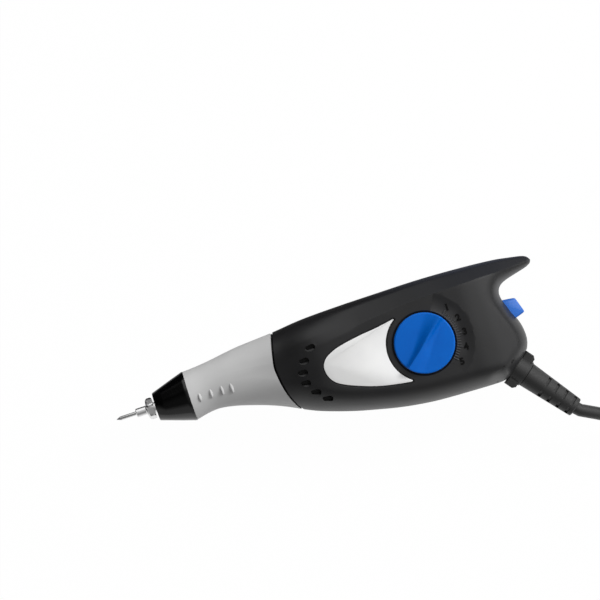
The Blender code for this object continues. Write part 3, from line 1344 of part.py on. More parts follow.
def plug_body(look, parent):
    """A moulded two-blade plug lying flat: a round neck that swells into an oblong body."""
    x0 = PLUG_AT[0] - FIT
    mid = PLUG_THICK / 2 - HALF_WIDTH
    rings = []
    for x, y, z, power in ((0, PLUG_NECK_R, PLUG_NECK_R, 2), (PLUG_NECK, PLUG_NECK_R, PLUG_NECK_R, 2),
                           (PLUG_FLARE, PLUG_WIDTH / 3, PLUG_FLARE_Z, PLUG_POWER - 1),
                           (PLUG_WAIST, PLUG_WAIST_Y, PLUG_THICK / 2, PLUG_POWER),
                           (PLUG_LENGTH, PLUG_WIDTH / 2, PLUG_THICK / 2, PLUG_POWER + 1)):
        ring = []
        for k in range(ROUND):
            c, s = math.cos(2 * math.pi * k / ROUND), math.sin(2 * math.pi * k / ROUND)
            out, up = math.copysign(abs(c) ** (2 / power), c), math.copysign(abs(s) ** (2 / power), s)
            ring.append((x0 - x, PLUG_AT[1] + y * out, mid + z * up))
        rings.append(ring)
    bm = bmesh.new()
    grid = [[bm.verts.new(p) for p in ring] for ring in rings]
    for first, second in zip(grid, grid[1:]):
        for j in range(ROUND):
            bm.faces.new((first[j], first[(j + 1) % ROUND], second[(j + 1) % ROUND], second[j]))
    bm.faces.new(grid[0])
    bm.faces.new(grid[-1])
    bmesh.ops.recalc_face_normals(bm, faces=bm.faces)
    return solid("plug_body", bm, look, parent, at=(x0, PLUG_AT[1], mid))


def plug_blade(number, side, look, parent):
    x1 = PLUG_AT[0] - FIT - PLUG_LENGTH - FIT
    mid, y = PLUG_THICK / 2 - HALF_WIDTH, PLUG_AT[1] + side * BLADE_SPACING / 2
    tip = BLADE_WIDTH / 4
    half, end = BLADE_WIDTH / 2, x1 - BLADE_LENGTH
    upper = [(x1, half), (end + tip, half), (end, tip)]
    outline = [(x, -z) for x, z in upper] + [(x, z) for x, z in reversed(upper)]
    bm = prism(bmesh.new(), outline, -BLADE_THICK / 2, BLADE_THICK / 2)
    bm.transform(Matrix.Translation((0, y, mid)) @ Matrix.Rotation(math.pi / 2, 4, "X"))
    return solid(f"plug_blade_{number}", bm, look, parent, at=(x1, y, mid))


def stand(rest, cord_names):
    """Lifts the tool on to the floor and centres it, without its cord, over the origin."""
    bpy.context.view_layer.update()
    graph = bpy.context.evaluated_depsgraph_get()
    low, high = Vector((math.inf,) * 3), Vector((-math.inf,) * 3)
    for made in bpy.data.objects:
        if made.type != "MESH" or made.hide_render or made.name in cord_names:
            continue
        for vertex in made.evaluated_get(graph).to_mesh().vertices:
            at = made.matrix_world @ vertex.co
            low, high = (Vector(map(f, v, at)) for f, v in ((min, low), (max, high)))
    rest.location = (-(low.x + high.x) / 2, -(low.y + high.y) / 2, -low.z)
    print("tool size without its cord, mm:", [round(1000 * v, 2) for v in high - low])
    print("the spindle's line and tip in the world, m:", [round(v, 6) for v in rest.location])


def main():
    clear_scene()
    rest = bpy.data.objects.new("tool_frame", None)
    bpy.context.scene.collection.objects.link(rest)
    black = material("housing_black", (0.022, 0.022, 0.024), 0.38)
    gloss = material("cap_black", (0.008, 0.008, 0.009), 0.12)
    grey = material("grip_grey", (0.42, 0.42, 0.43), 0.55)
    blue = material("dial_blue", (0.005, 0.10, 0.42), 0.35)
    steel = material("bright_steel", (0.62, 0.62, 0.63), 0.22, 1.0)
    bronze = material("bush_bronze", (0.55, 0.36, 0.16), 0.40, 1.0)
    core = material("core_steel", (0.28, 0.28, 0.29), 0.45, 1.0)
    copper = material("winding_copper", (0.60, 0.22, 0.10), 0.35, 1.0)
    nylon = material("nylon_white", (0.75, 0.74, 0.70), 0.50)
    silver = material("plate_silver", (0.72, 0.72, 0.73), 0.32, 1.0)
    rubber = material("guard_rubber", (0.020, 0.020, 0.021), 0.60)
    housing_half(1, black, rest)
    housing_half(-1, black, rest)
    grip_sleeve(grey, rest)
    nose_cap(gloss, rest)
    front_bush(bronze, rest)
    rear_bush(bronze, rest)
    spindle(steel, rest)
    chuck_nut(steel, rest)
    engraving_point(steel, rest)
    carbide_tip(core, rest)
    return_spring(steel, rest)
    field_core(core, rest)
    for number, at in enumerate(rivet_places(), 1):
        rivet(number, at, steel, rest)
    coil_bobbin(nylon, rest)
    field_winding(copper, rest)
    armature(core, rest)
    armature_pin(steel, rest)
    stroke_dial(blue, rest)
    dial_cam(nylon, rest)
    dial_clip(steel, rest)
    cam_follower(nylon, rest)
    stroke_spring(steel, rest)
    name_plate(silver, rest)
    switch_slider(blue, rest)
    switch_body(black, rest)
    for number, at in enumerate(screw_places(), 1):
        housing_screw(number, at, steel, rest)
    cord_guard(rubber, rest)
    cord_inner(rubber, rest)
    cord_clamp(nylon, rest)
    for number, at in enumerate(clamp_places(), 1):
        clamp_screw(number, at, steel, rest)
    cord(rubber, rest)
    plug_body(rubber, rest)
    plug_blade(1, 1, steel, rest)
    plug_blade(2, -1, steel, rest)
    stand(rest, ("cord_guard", "plug_body", "plug_blade_1", "plug_blade_2"))


main()
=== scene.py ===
"""Looks of an electric engraving pen: skin, grip, dial, plate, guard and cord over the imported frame.

All sizes are in metres. The tool frame has its origin at the cutting tip, X along the spindle to the
tail and Y towards the spine. TOOL_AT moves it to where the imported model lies.
"""

import math

import bmesh
import bpy
import numpy as np
from mathutils import Matrix, Vector

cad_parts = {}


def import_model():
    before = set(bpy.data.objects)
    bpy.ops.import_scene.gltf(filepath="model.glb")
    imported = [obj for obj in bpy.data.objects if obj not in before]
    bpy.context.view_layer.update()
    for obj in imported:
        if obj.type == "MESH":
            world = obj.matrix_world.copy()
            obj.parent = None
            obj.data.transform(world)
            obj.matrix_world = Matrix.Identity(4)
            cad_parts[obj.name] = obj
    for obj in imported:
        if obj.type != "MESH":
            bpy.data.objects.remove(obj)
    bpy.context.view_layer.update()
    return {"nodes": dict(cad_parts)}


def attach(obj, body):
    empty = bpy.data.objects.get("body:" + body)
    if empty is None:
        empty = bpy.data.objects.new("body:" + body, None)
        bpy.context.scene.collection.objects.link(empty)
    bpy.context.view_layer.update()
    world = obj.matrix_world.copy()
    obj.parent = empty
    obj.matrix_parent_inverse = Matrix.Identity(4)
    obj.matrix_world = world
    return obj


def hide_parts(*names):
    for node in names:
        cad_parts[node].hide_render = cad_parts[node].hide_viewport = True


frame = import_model()

TOOL_AT = Vector((-0.09445, 0.009137, 0.0210))
TO_WORLD = Matrix.Translation(TOOL_AT)
MM = 0.001


def linked(name, data):
    """A new object in the scene, around that data."""
    made = bpy.data.objects.new(name, data)
    bpy.context.scene.collection.objects.link(made)
    return made


# Camera.
def camera(at, turn, lens, away):
    """Straight above the lying tool, turned so that the tip points down to the left."""
    data = bpy.data.cameras.new("camera")
    data.lens = lens
    data.sensor_width = 36
    made = linked("camera", data)
    made.location = (at[0], at[1], TOOL_AT.z + away)
    made.rotation_euler = (0, 0, math.radians(turn))
    bpy.context.scene.camera = made


LENS = 200
VIEW_WIDTH = 0.2562  # what the picture's width takes in at the tool's middle height
camera((-0.00425, 0.033536), -18, LENS, VIEW_WIDTH * LENS / 36)


def hexa(code):
    """An sRGB hex value as linear red, green, blue and alpha."""
    parts = [int(code[k:k + 2], 16) / 255 for k in (1, 3, 5)]
    return (*(v / 12.92 if v <= 0.04045 else ((v + 0.055) / 1.055) ** 2.4 for v in parts), 1.0)


def add(tree, kind, settings=None, **links):
    """Adds a node: `settings` go on its attributes or sockets, `links` tie sockets to its inputs."""
    node = tree.nodes.new(kind)
    for name, value in (settings or {}).items():
        if isinstance(name, str) and hasattr(node, name):
            setattr(node, name, value)
        else:
            node.inputs[name].default_value = value
    for name, source in links.items():
        key = int(name[1:]) if name[0] == "i" and name[1:].isdigit() else name.replace("_", " ")
        tree.links.new(source, node.inputs[key])
    return node


def finish_node(name, roughness, metallic=0.0, **sockets):
    """A material whose Principled shader starts from typical values for the finish."""
    made = bpy.data.materials.new(name)
    made.use_nodes = True
    tree = made.node_tree
    shader = tree.nodes["Principled BSDF"]
    shader.inputs["Roughness"].default_value = roughness
    shader.inputs["Metallic"].default_value = metallic
    for socket, value in sockets.items():
        shader.inputs[socket.replace("_", " ")].default_value = value
    return made, tree, shader


def ramp(tree, value, start, end, low=0.0, high=1.0):
    """A value between start and end, spread evenly from low to high and held beyond."""
    settings = {"From Min": start, "From Max": end, "To Min": low, "To Max": high}
    return add(tree, "ShaderNodeMapRange", settings, Value=value).outputs[0]


def combined(tree, kind, one, two):
    return add(tree, "ShaderNodeMath", {"operation": kind}, i0=one, i1=two).outputs[0]


PATCH_MM = 14  # how wide the slow changes of tone and gloss are


def grained(name, dark, light, roughness, grain_mm, height_mm, spread=0.06, stretch=(1, 1, 1), **sockets):
    """A surface with a fine grain of a real size, a slow change of tone and a change of gloss."""
    made, tree, shader = finish_node(name, roughness, **sockets)
    where = add(tree, "ShaderNodeTexCoord").outputs["Object"]
    at = add(tree, "ShaderNodeMapping", {"Scale": stretch}, Vector=where).outputs[0]
    grain = add(tree, "ShaderNodeTexNoise", {"Scale": 1000 / grain_mm, "Detail": 3.0, "Roughness": 0.6},
                Vector=at).outputs[0]
    patch = add(tree, "ShaderNodeTexNoise", {"Scale": 1000 / PATCH_MM, "Detail": 2.0}, Vector=at).outputs[0]
    both = add(tree, "ShaderNodeMath", {"operation": "MULTIPLY_ADD", 1: 0.35}, i0=grain, i2=patch)
    mix = add(tree, "ShaderNodeMix", {"data_type": "RGBA", 6: hexa(dark), 7: hexa(light)},
              i0=ramp(tree, both.outputs[0], 0.45, 0.95))
    tree.links.new(mix.outputs[2], shader.inputs["Base Color"])
    gloss = ramp(tree, patch, 0.0, 1.0, max(0.02, roughness - spread), roughness + spread)
    tree.links.new(gloss, shader.inputs["Roughness"])
    bump = add(tree, "ShaderNodeBump", {"Strength": 1.0, "Distance": height_mm * MM}, Height=grain)
    tree.links.new(bump.outputs[0], shader.inputs["Normal"])
    return made


# Finishes.
# Glass-filled nylon from a spark-eroded mould: a satin black with a fine even grain.
HOUSING = grained("moulded_nylon_black", "#151516", "#1a1a1b", 0.44, 0.35, 0.010, Specular_IOR_Level=0.4)
# A polished mould leaves the cap glossy.
CAP = grained("polished_abs_black", "#020202", "#050505", 0.14, 2.5, 0.002, spread=0.03)
# Grey thermoplastic rubber over the neck: matt, with a slow change of tone.
GRIP = grained("soft_grip_grey", "#ababab", "#b2b2b2", 0.52, 0.30, 0.008)
# Dyed acetal: blue, with a satin gloss.
DIAL = grained("moulded_acetal_blue", "#0050a4", "#0057ae", 0.30, 1.2, 0.002, spread=0.03,
               Specular_IOR_Level=0.16)
SWITCH = grained("moulded_acetal_switch", "#1455a9", "#195db2", 0.34, 0.8, 0.003, spread=0.03)
# Silver lacquer on a stamped aluminium plate: a fine sparkle under a satin coat.
PLATE = grained("lacquered_aluminium", "#d2d2d2", "#dcdcdb", 0.40, 0.25, 0.003, metallic=0.1)
# Turned and ground tool steel: fine rings round the spindle's axis.
STEEL = grained("ground_steel", "#d4d4d4", "#ececec", 0.22, 0.18, 0.004, metallic=1.0,
                stretch=(1, 0.05, 0.05))
CARBIDE = grained("sintered_carbide", "#b0b0b2", "#c8c8ca", 0.34, 0.12, 0.006, metallic=1.0)
BRONZE = grained("sintered_bronze", "#8a6338", "#a87b48", 0.42, 0.30, 0.012, metallic=1.0)
COPPER = grained("enamelled_copper_wire", "#8a3a18", "#b45a2c", 0.30, 0.45, 0.060, metallic=1.0,
                 stretch=(1, 0.02, 0.02))
LAMINATION = grained("laminated_core_steel", "#3c3d40", "#5a5b5f", 0.45, 0.50, 0.040, metallic=1.0,
                     stretch=(0.02, 0.02, 1))
NYLON = grained("natural_nylon", "#d2cfc4", "#e2dfd6", 0.45, 0.40, 0.008, Subsurface_Weight=0.05)
SCREW = grained("zinc_plated_steel", "#8f9094", "#b5b6ba", 0.30, 0.15, 0.006, metallic=1.0)
# Moulded rubber and PVC: dark grey and matt.
RUBBER = grained("moulded_rubber_black", "#1a1a1a", "#262626", 0.50, 0.40, 0.014)
CORD = grained("extruded_pvc_black", "#1b1b1b", "#252525", 0.42, 0.60, 0.010)
# Lighter grey than the housing the ticks are moulded from: a painted highlight along the raised strokes.
STROKES_PAINTED_HIGHLIGHT = grained("raised_strokes_painted_highlight_grey", "#343436", "#3e3e40", 0.42, 0.50, 0.003, spread=0.03)
# Near-black gloss for the raised numbers; also laid on the groove floor behind the grip as painted shade.
MARK_AND_GROOVE_SHADE = grained("gloss_black_numbers_and_groove_shade", "#020202", "#050505", 0.30, 0.50, 0.003, spread=0.03,
               Specular_IOR_Level=0.12)


def keep(node, look):
    """A CAD node that stays as it is gets its finish."""
    mesh = frame["nodes"][node].data
    mesh.materials.clear()
    mesh.materials.append(look)


def piece(name, mesh, look, body, *nodes, slot=None, soft=math.radians(32)):
    """Puts a finished mesh in the scene at the origin, on its body, for the nodes it stands for."""
    if isinstance(mesh, bmesh.types.BMesh):
        data = bpy.data.meshes.new(name)
        mesh.to_mesh(data)
        mesh.free()
        mesh = data
    mesh.name = name
    mesh.materials.clear()
    mesh.materials.append(look)
    mesh.shade_smooth()
    mesh.set_sharp_from_angle(angle=soft)
    made = linked(name, mesh)
    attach(made, body)
    if nodes:
        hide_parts(*nodes)
    return made


# Sizes shared by several pieces, as the solids have them.
FIT = 0.0003  # gap between pieces that touch
BODY_START = 0.0322
BODY_LENGTH = 0.1567
SPINE_RISE = 0.0171
HEEL_DROP = 0.0354
HALF_WIDTH = 0.0210
SLEEVE_WALL = 0.0018
PARTING_LAND = 0.0009
TOP_SHARES = (
    (0.000, 0.626), (0.041, 0.649), (0.082, 0.690), (0.124, 0.749), (0.166, 0.801), (0.208, 0.830),
    (0.270, 0.871), (0.354, 0.953), (0.465, 0.988), (0.574, 0.997), (0.684, 1.000), (0.793, 0.965),
    (0.900, 0.895), (0.952, 0.819), (0.984, 0.757), (0.9955, 0.690), (1.000, 0.610),
)
BOTTOM_SHARES = (
    (0.000, 0.302), (0.030, 0.274), (0.054, 0.257), (0.078, 0.257), (0.117, 0.288), (0.153, 0.333),
    (0.189, 0.384), (0.226, 0.446), (0.261, 0.517), (0.290, 0.582), (0.327, 0.655), (0.377, 0.732),
    (0.426, 0.797), (0.477, 0.853), (0.528, 0.904), (0.580, 0.944), (0.633, 0.972), (0.686, 0.986),
    (0.741, 0.994), (0.790, 1.000), (0.813, 1.000),
)
REAR_SHARES = (
    (0.813, -1.000), (0.829, -0.997), (0.845, -0.975), (0.874, -0.881), (0.902, -0.785),
    (0.917, -0.715), (0.926, -0.588), (0.924, -0.438), (0.916, -0.319), (0.906, -0.223),
    (0.900, -0.140), (0.893, -0.056), (0.891, 0.041), (0.895, 0.165), (0.905, 0.257),
    (0.922, 0.325), (0.944, 0.380), (0.966, 0.430), (0.985, 0.480), (0.996, 0.537), (1.000, 0.610),
)
SEAM_SHARES = (
    (0.00, 0.288), (0.06, 0.276), (0.20, 0.262), (0.38, 0.254), (0.54, 0.251), (0.76, 0.258),
    (1.00, 0.270),
)
WIDTH_SHARES = (
    (0.000, 0.509), (0.051, 0.486), (0.115, 0.530), (0.191, 0.610), (0.274, 0.765), (0.332, 0.915),
    (0.376, 0.988), (0.414, 1.000), (0.778, 1.000), (0.829, 0.955), (0.880, 0.830), (0.931, 0.580),
    (0.970, 0.400), (1.000, 0.310),
)
EDGE_SHARES = (
    (0.000, 0.302), (0.051, 0.285), (0.115, 0.316), (0.191, 0.350), (0.274, 0.345), (0.370, 0.300),
    (0.497, 0.270), (0.752, 0.255), (0.847, 0.226), (0.931, 0.141), (1.000, 0.090),
)
STRIP_SHARES = (
    (0.000, 0.340), (0.400, 0.342), (0.465, 0.319), (0.528, 0.275), (0.592, 0.245), (0.656, 0.223),
    (0.784, 0.193), (0.847, 0.170), (0.911, 0.146), (0.956, 0.107), (0.987, 0.065), (1.000, 0.042),
)
CREASE_SHARES = ((0.000, 0.0), (0.330, 0.0), (0.510, 1.0), (1.000, 1.0))
STRIP_EDGE_SHARE = 0.25  # of the strip, rounded over on to the parting line
STRIP_HEIGHT_SHARE = 0.50  # of the half width, left where the strip meets that round
REAR_ROUND_SHARES = ((0.000, 0.170), (0.900, 0.170), (0.940, 0.110), (1.000, 0.085))
EDGE_SAMPLES = 160
OVERRUN = 0.002  # how far a cut runs past the face it opens
LOWER_ROW_SHARES = (0.0, 0.012, 0.045, 0.10, 0.20, 0.34, 0.46, 0.56, 0.65, 0.73, 0.81, 0.90, 1.0)
UPPER_ROW_SHARES = (0.25, 0.50, 0.72, 0.88, 0.965, 1.0)
CREASE_ROW_SHARES = (
    (0.0, 0.630), (0.25, 0.693), (0.4, 0.743), (0.5, 0.770), (0.6, 0.792), (0.8, 0.823), (0.9, 0.863),
    (0.95, 0.897), (1.0, 0.973),
)
SKIN_STATIONS = 17
SLEEVE_STATIONS = 6
NECK_START = 0.0290
CAP_FRONT = 0.0177
CAP_BORE_R = 0.0034
SPINDLE_FRONT = 0.0146
SPINDLE_STUB_R = 0.0022
CHUCK_R = 0.0019
CHUCK_FRONT = 0.0088
CHUCK_FLANGE_X = 0.0134
CHUCK_FLANGE_LENGTH = 0.0034
CHUCK_FLANGE_R = 0.0048
CHUCK_BEVEL = 0.0013
CHUCK_REST = math.radians(18)
STROKE = 0.0010
POINT_R = 0.00085
POINT_TIP_R = 0.00012
POINT_CONE = 0.0022
POINT_LENGTH = 0.0330
DIAL_X_SHARE = 0.6522
DIAL_Y_SHARE = 0.2542
DIAL_R = 0.0129
DIAL_PROUD = 0.0042
DIAL_SUNK = 0.0022
DIAL_GAP = 0.0006
DIAL_REST = math.radians(40)
RING_OUT = 0.0200
RING_IN = 0.0147
RING_DEEP = 0.0004
RING_START = math.radians(-53)
RING_END = math.radians(62)
PLATE_THICK = 0.0006
PLATE_DEEP = 0.0009
PLATE_GROOVE = 0.0005
PLATE_DIAL_R = 0.0163
PLATE_UPPER_SHARES = (
    (-0.2766, 0.0977), (-0.2628, 0.1923), (-0.2263, 0.2672), (-0.1638, 0.3204), (-0.1071, 0.3510),
)
PLATE_LOWER_SHARES = ((-0.1412, -0.3309), (-0.2053, -0.2393), (-0.2556, -0.1309), (-0.2732, -0.0274))
PLATE_TIP_SHARES = (0.367, -0.401)
VENT_LENGTH = 0.0050
VENT_WIDTH = 0.0027
VENT_SHARES = (
    (0.354, 0.225, 6), (0.327, -0.022, 3), (0.314, -0.152, 0), (0.313, -0.282, -3),
    (0.332, -0.420, -7), (0.357, -0.540, -10),
)
RIB_WIDTH = 0.0016
RIB_PROUD = 0.0007
RIB_SHARES = (
    (0.031, -0.045, 0.112), (0.063, -0.040, 0.124), (0.094, -0.042, 0.136), (0.121, -0.052, 0.142),
)
SCREW_SHARES = ((0.385, 0.47), (0.345, -0.44), (0.440, -0.60), (0.800, -0.50), (0.800, 0.40))
SCREW_R = 0.0012
SCREW_HEAD_R = 0.0022
SCREW_CROWN_R = 0.0018
SCREW_HEAD = 0.0020
SCREW_SEAT = 0.0070
SWITCH_Y_SHARE = -0.190
SWITCH_LEAN = math.radians(108)
SWITCH_TRAVEL = 0.0030
SWITCH_LENGTH = 0.0097
SWITCH_WIDTH = 0.0100
SWITCH_PROUD = 0.0042
SWITCH_SKIRT = 0.0012
SWITCH_SLOPE = 0.0023
SWITCH_GROOVE = 0.0004
SWITCH_GROOVES = 3
SWITCH_STEM = 0.0030
GUARD_AT_SHARES = (0.8840, -0.949)
GUARD_LEAN = math.radians(-52.1)
GUARD_LENGTH = 0.0250
GUARD_R = 0.00545
GUARD_TIP_R = 0.00425
GUARD_BASE = 0.0058
GUARD_BACK = 0.0034
GUARD_NECK_R = 0.0048
GUARD_COLLAR_R = 0.0059
GUARD_WING_R = 0.0083
GUARD_WING_THICK = 0.0068
GUARD_WING_FRONT = 0.0006
GUARD_SLOT_LENGTH = 0.0050
GUARD_SLOT_WIDTH = 0.0013
GUARD_SLOT_START = 0.0090
GUARD_SLOT_TURN = math.radians(-32)
GUARD_PITCH = 0.0045
GUARD_SLOTS = 4
CORD_R = 0.00275
CORD_CLEAR = 0.00005  # between the lying cord and the surface below it
LEAD_ROUTE = (
    (0.1930, -0.0606, 0.0011), (0.1990, -0.0640, 0.0034), (0.2055, -0.0660, 0.0072),
    (0.2120, -0.0673, 0.0115), (0.2185, -0.0683, 0.0151), (0.2250, -0.0692, 0.0173),
    (0.2320, -0.0699, 0.0181),
)
TAIL_ROUTE = (
    (0.3027, -0.0015, 0.0132), (0.3010, 0.0065, 0.0140), (0.2965, 0.0150, 0.0147), (0.2900, 0.0220, 0.0150),
)
PLUG_AT = (0.2780, 0.0275)
COIL_AT = (0.2660, -0.0270)
COIL_R = 0.0435
COIL_TURNS = 7 + 110 / 360
COIL_START = math.radians(-90)
COIL_CLIMB_TURNS = 1 / 2
COIL_GAP = 0.00060
COIL_PER_TURN = 24
CORD_STEP = 0.0060
PLUG_LENGTH = 0.0300
PLUG_WIDTH = 0.0200
PLUG_THICK = 0.0120
PLUG_NECK_R = 0.0042
PLUG_NECK = 0.0070
PLUG_FLARE = 0.0120
PLUG_FLARE_Z = 0.0054
PLUG_WAIST = 0.0190
PLUG_WAIST_Y = 0.0095
PLUG_POWER = 3  # how square its section is: 2 is round
BLADE_LENGTH = 0.0160
BLADE_WIDTH = 0.0064
BLADE_THICK = 0.0015
BLADE_SPACING = 0.0127

FINE = 4  # how many times finer than the solids' the skin's rows and stations are


def finer(values):
    values = np.array(values, float)
    steps = np.linspace(0, len(values) - 1, (len(values) - 1) * FINE + 1)
    return list(np.interp(steps, np.arange(len(values)), values))


# The moulded body's skin.
def smooth(table, at, monotone=True):
    """A smooth curve through a table of (place, value) pairs, read at one place or many."""
    knots, values = (np.array(column, float) for column in zip(*table))
    at = np.clip(at, knots[0], knots[-1])
    step = np.diff(knots)
    slope = np.diff(values) / step
    turn = np.zeros(len(knots))
    turn[0], turn[-1] = slope[0], slope[-1]
    same = slope[:-1] * slope[1:] > 0
    mean = 2 * slope[:-1] * slope[1:] / np.where(same, slope[:-1] + slope[1:], 1)
    plain = (values[2:] - values[:-2]) / (knots[2:] - knots[:-2])
    turn[1:-1] = np.where(same, mean, 0) if monotone else plain
    i = np.clip(np.searchsorted(knots, at, side="right") - 1, 0, len(step) - 1)
    t, h = (at - knots[i]) / step[i], step[i]
    rise = (t**3 - 2 * t**2 + t) * h * turn[i] + (t**3 - t**2) * h * turn[i + 1]
    return (2 * t**3 - 3 * t**2 + 1) * values[i] + (3 * t**2 - 2 * t**3) * values[i + 1] + rise


def reaches(points):
    """How far along a line of points each of them lies."""
    return np.concatenate([[0], np.cumsum(np.linalg.norm(np.diff(points, axis=0), axis=1))])


def smooth_line(along, points, fine):
    """A smooth line through points that lie at the lengths `along`, read at the lengths `fine`."""
    columns = np.array([tuple(p) for p in points], float).T
    return np.stack([smooth(list(zip(along, column)), fine, monotone=False) for column in columns], axis=1)


def place(shares):
    """A point of the outline from its share of the length and of the rise or drop."""
    x, y = shares
    return np.array((BODY_START + x * BODY_LENGTH, y * (SPINE_RISE if y > 0 else HEEL_DROP)))


class Edge:
    """One side of the body's outline, smooth through its points and read by share of its length."""

    def __init__(self, line):
        self.line = line
        self.along = reaches(line)

    @classmethod
    def through(cls, points, ahead=0.0):
        points = np.array(points)
        if ahead:
            points = np.vstack([points[0] - (ahead, 0), points])
        along = reaches(points)
        return cls(smooth_line(along, points, np.linspace(0, along[-1], EDGE_SAMPLES)))

    def at(self, share, start=0.0):
        """The point at a share of what lies past `start`, a length along the edge."""
        reach = start + (self.along[-1] - start) * np.asarray(share)
        return np.stack([np.interp(reach, self.along, self.line[:, k]) for k in (0, 1)], axis=-1)

    def start_of(self, x):
        return float(np.interp(x, self.line[:, 0], self.along))

    def height(self, x):
        return np.interp(x, self.line[:, 0], self.line[:, 1])

    def distance(self, points):
        a, b = self.line[:-1], self.line[1:]
        step = b - a
        t = ((points[..., None, :] - a) * step).sum(-1) / (step**2).sum(-1)
        near = a + np.clip(t, 0, 1)[..., None] * step
        return np.linalg.norm(points[..., None, :] - near, axis=-1).min(-1)


NECK_LEAD = BODY_START - NECK_START + OVERRUN
TOP = Edge.through([place(p) for p in TOP_SHARES], ahead=NECK_LEAD)
BOTTOM = Edge.through([place((x, -y)) for x, y in BOTTOM_SHARES], ahead=NECK_LEAD)
REAR = Edge.through([place(p) for p in REAR_SHARES])


def rounded(share):
    return np.sqrt(np.clip(1 - (1 - np.clip(share, 0, 1)) ** 2, 0, 1))


def skin_height(points, inset=0.0, foot=FIT / 2):
    """How far the skin stands off the parting plane over points of the outline's plane."""
    points = np.asarray(points, float)
    s = (points[..., 0] - BODY_START) / BODY_LENGTH
    edge = np.maximum(smooth(EDGE_SHARES, s) * HEEL_DROP - inset, inset / 2)
    strip = np.maximum(smooth(STRIP_SHARES, s) * HEEL_DROP - inset, inset / 2)
    back = np.maximum(smooth(REAR_ROUND_SHARES, s) * HEEL_DROP - inset, inset / 2)
    below = rounded((BOTTOM.distance(points) - inset) / edge)
    behind = rounded((REAR.distance(points) - inset) / back)
    down = TOP.distance(points) - inset
    slant = np.clip(down / strip, 0, 1)
    creased = STRIP_HEIGHT_SHARE * rounded(slant / STRIP_EDGE_SHARE) + (1 - STRIP_HEIGHT_SHARE) * slant
    blend = smooth(CREASE_SHARES, s)
    above = (1 - blend) * rounded(down / edge) + blend * creased
    width = smooth(WIDTH_SHARES, s) * HALF_WIDTH - inset - foot
    return foot + width * below * above * behind


def seam_x(share):
    return BODY_START + smooth(SEAM_SHARES, share) * BODY_LENGTH


def rows(crease):
    lower, upper = finer(LOWER_ROW_SHARES), finer(UPPER_ROW_SHARES)
    return [r * crease for r in lower] + [crease + r * (1 - crease) for r in upper]


def front_station(share, start, end_gap, inset):
    """Points of one section between a plane near the nose and the seam, from heel to spine."""
    v = np.array(rows(CREASE_ROW_SHARES[0][1]))
    x = start + (seam_x(v) + end_gap - start) * share
    low, high = BOTTOM.height(x) + inset, TOP.height(x) - inset
    return np.stack([x, low + (high - low) * v], axis=-1)


def rear_station(share):
    """One line of the patch that the seam, the lower edge, the rear and the spine bound."""
    v = np.array(rows(float(smooth(CREASE_ROW_SHARES, share))))
    u = share
    a = front_station(1.0, NECK_START, FIT / 2, 0)
    a_v = rows(CREASE_ROW_SHARES[0][1])
    a = np.stack([np.interp(v, a_v, a[:, k]) for k in (0, 1)], axis=-1)
    b0, d0 = BOTTOM.start_of(a[0, 0]), TOP.start_of(a[-1, 0])
    b, d, c = BOTTOM.at(u, b0), TOP.at(u, d0), REAR.at(v)
    corner = [BOTTOM.at(0, b0), TOP.at(0, d0), BOTTOM.at(1), TOP.at(1)]
    v = v[:, None]
    ruled = (1 - v) * b + v * d + (1 - u) * a + u * c
    near = (1 - v) * corner[0] + v * corner[1]
    far = (1 - v) * corner[2] + v * corner[3]
    return ruled - (1 - u) * near - u * far


def banded(points, height, end_land=False):
    """Adds the upright land at the parting line to both ends of a section."""
    foot = FIT / 2
    height = np.maximum(height, foot + PARTING_LAND)
    if end_land:
        height = np.full(len(points), foot)
    return [(*points[0], foot)] + [(*p, z) for p, z in zip(points, height)] + [(*points[-1], foot)]


def shell_lines():
    """Sections of the half housing from neck to tail, stepped in where the grip slides over it."""
    step_in = SLEEVE_WALL + FIT
    lines = []
    ahead = [front_station(0.0, NECK_START, 0.0, step_in)]
    along = [front_station(k / (SLEEVE_STATIONS * FINE), BODY_START, FIT / 2, step_in)
             for k in range(SLEEVE_STATIONS * FINE + 1)]
    for points in ahead + along:
        lines.append(banded(points, skin_height(points, step_in)))
    for k in range(SKIN_STATIONS * FINE + 1):
        t = k / (SKIN_STATIONS * FINE)
        points = rear_station(0.4 * t + 0.6 * math.sin(math.pi * t / 2))
        lines.append(banded(points, skin_height(points)))
    lines.append(banded(points, skin_height(points), end_land=True))
    return lines


def sleeve_ring(share, inset):
    points = front_station(share, BODY_START, -FIT / 2, inset)
    height = skin_height(points, inset, 0.0)
    near = [(*p, z) for p, z in zip(points, height)]
    near[0], near[-1] = (*points[0], 0.0), (*points[-1], 0.0)
    far = [(x, y, -z) for x, y, z in near[-2:0:-1]]
    return near + far


# Shapes.
def world(bm):
    bm.transform(TO_WORLD)
    return bm


def add_ring(bm, points):
    return [bm.verts.new(p) for p in points]


def bridge(bm, first, second, around=True):
    count = len(first)
    for j in range(count if around else count - 1):
        n = (j + 1) % count
        bm.faces.new((first[j], first[n], second[n], second[j]))


def closed(bm):
    bmesh.ops.remove_doubles(bm, verts=bm.verts, dist=1e-7)
    bmesh.ops.recalc_face_normals(bm, faces=bm.faces)
    return bm


def loft(rings, around=False):
    """A closed skin through rings of points: round on itself, or with a face at each end."""
    bm = bmesh.new()
    rings = [add_ring(bm, ring) for ring in rings]
    for first, second in zip(rings, rings[1:] + rings[:1] if around else rings[1:]):
        bridge(bm, first, second)
    if not around:
        bm.faces.new(rings[0][::-1])
        bm.faces.new(rings[-1])
    return closed(bm)


def layered(outlines):
    """A closed form through outlines of equal count, each at its own height."""
    return loft([[(*p, z) for p in outline] for outline, z in outlines])


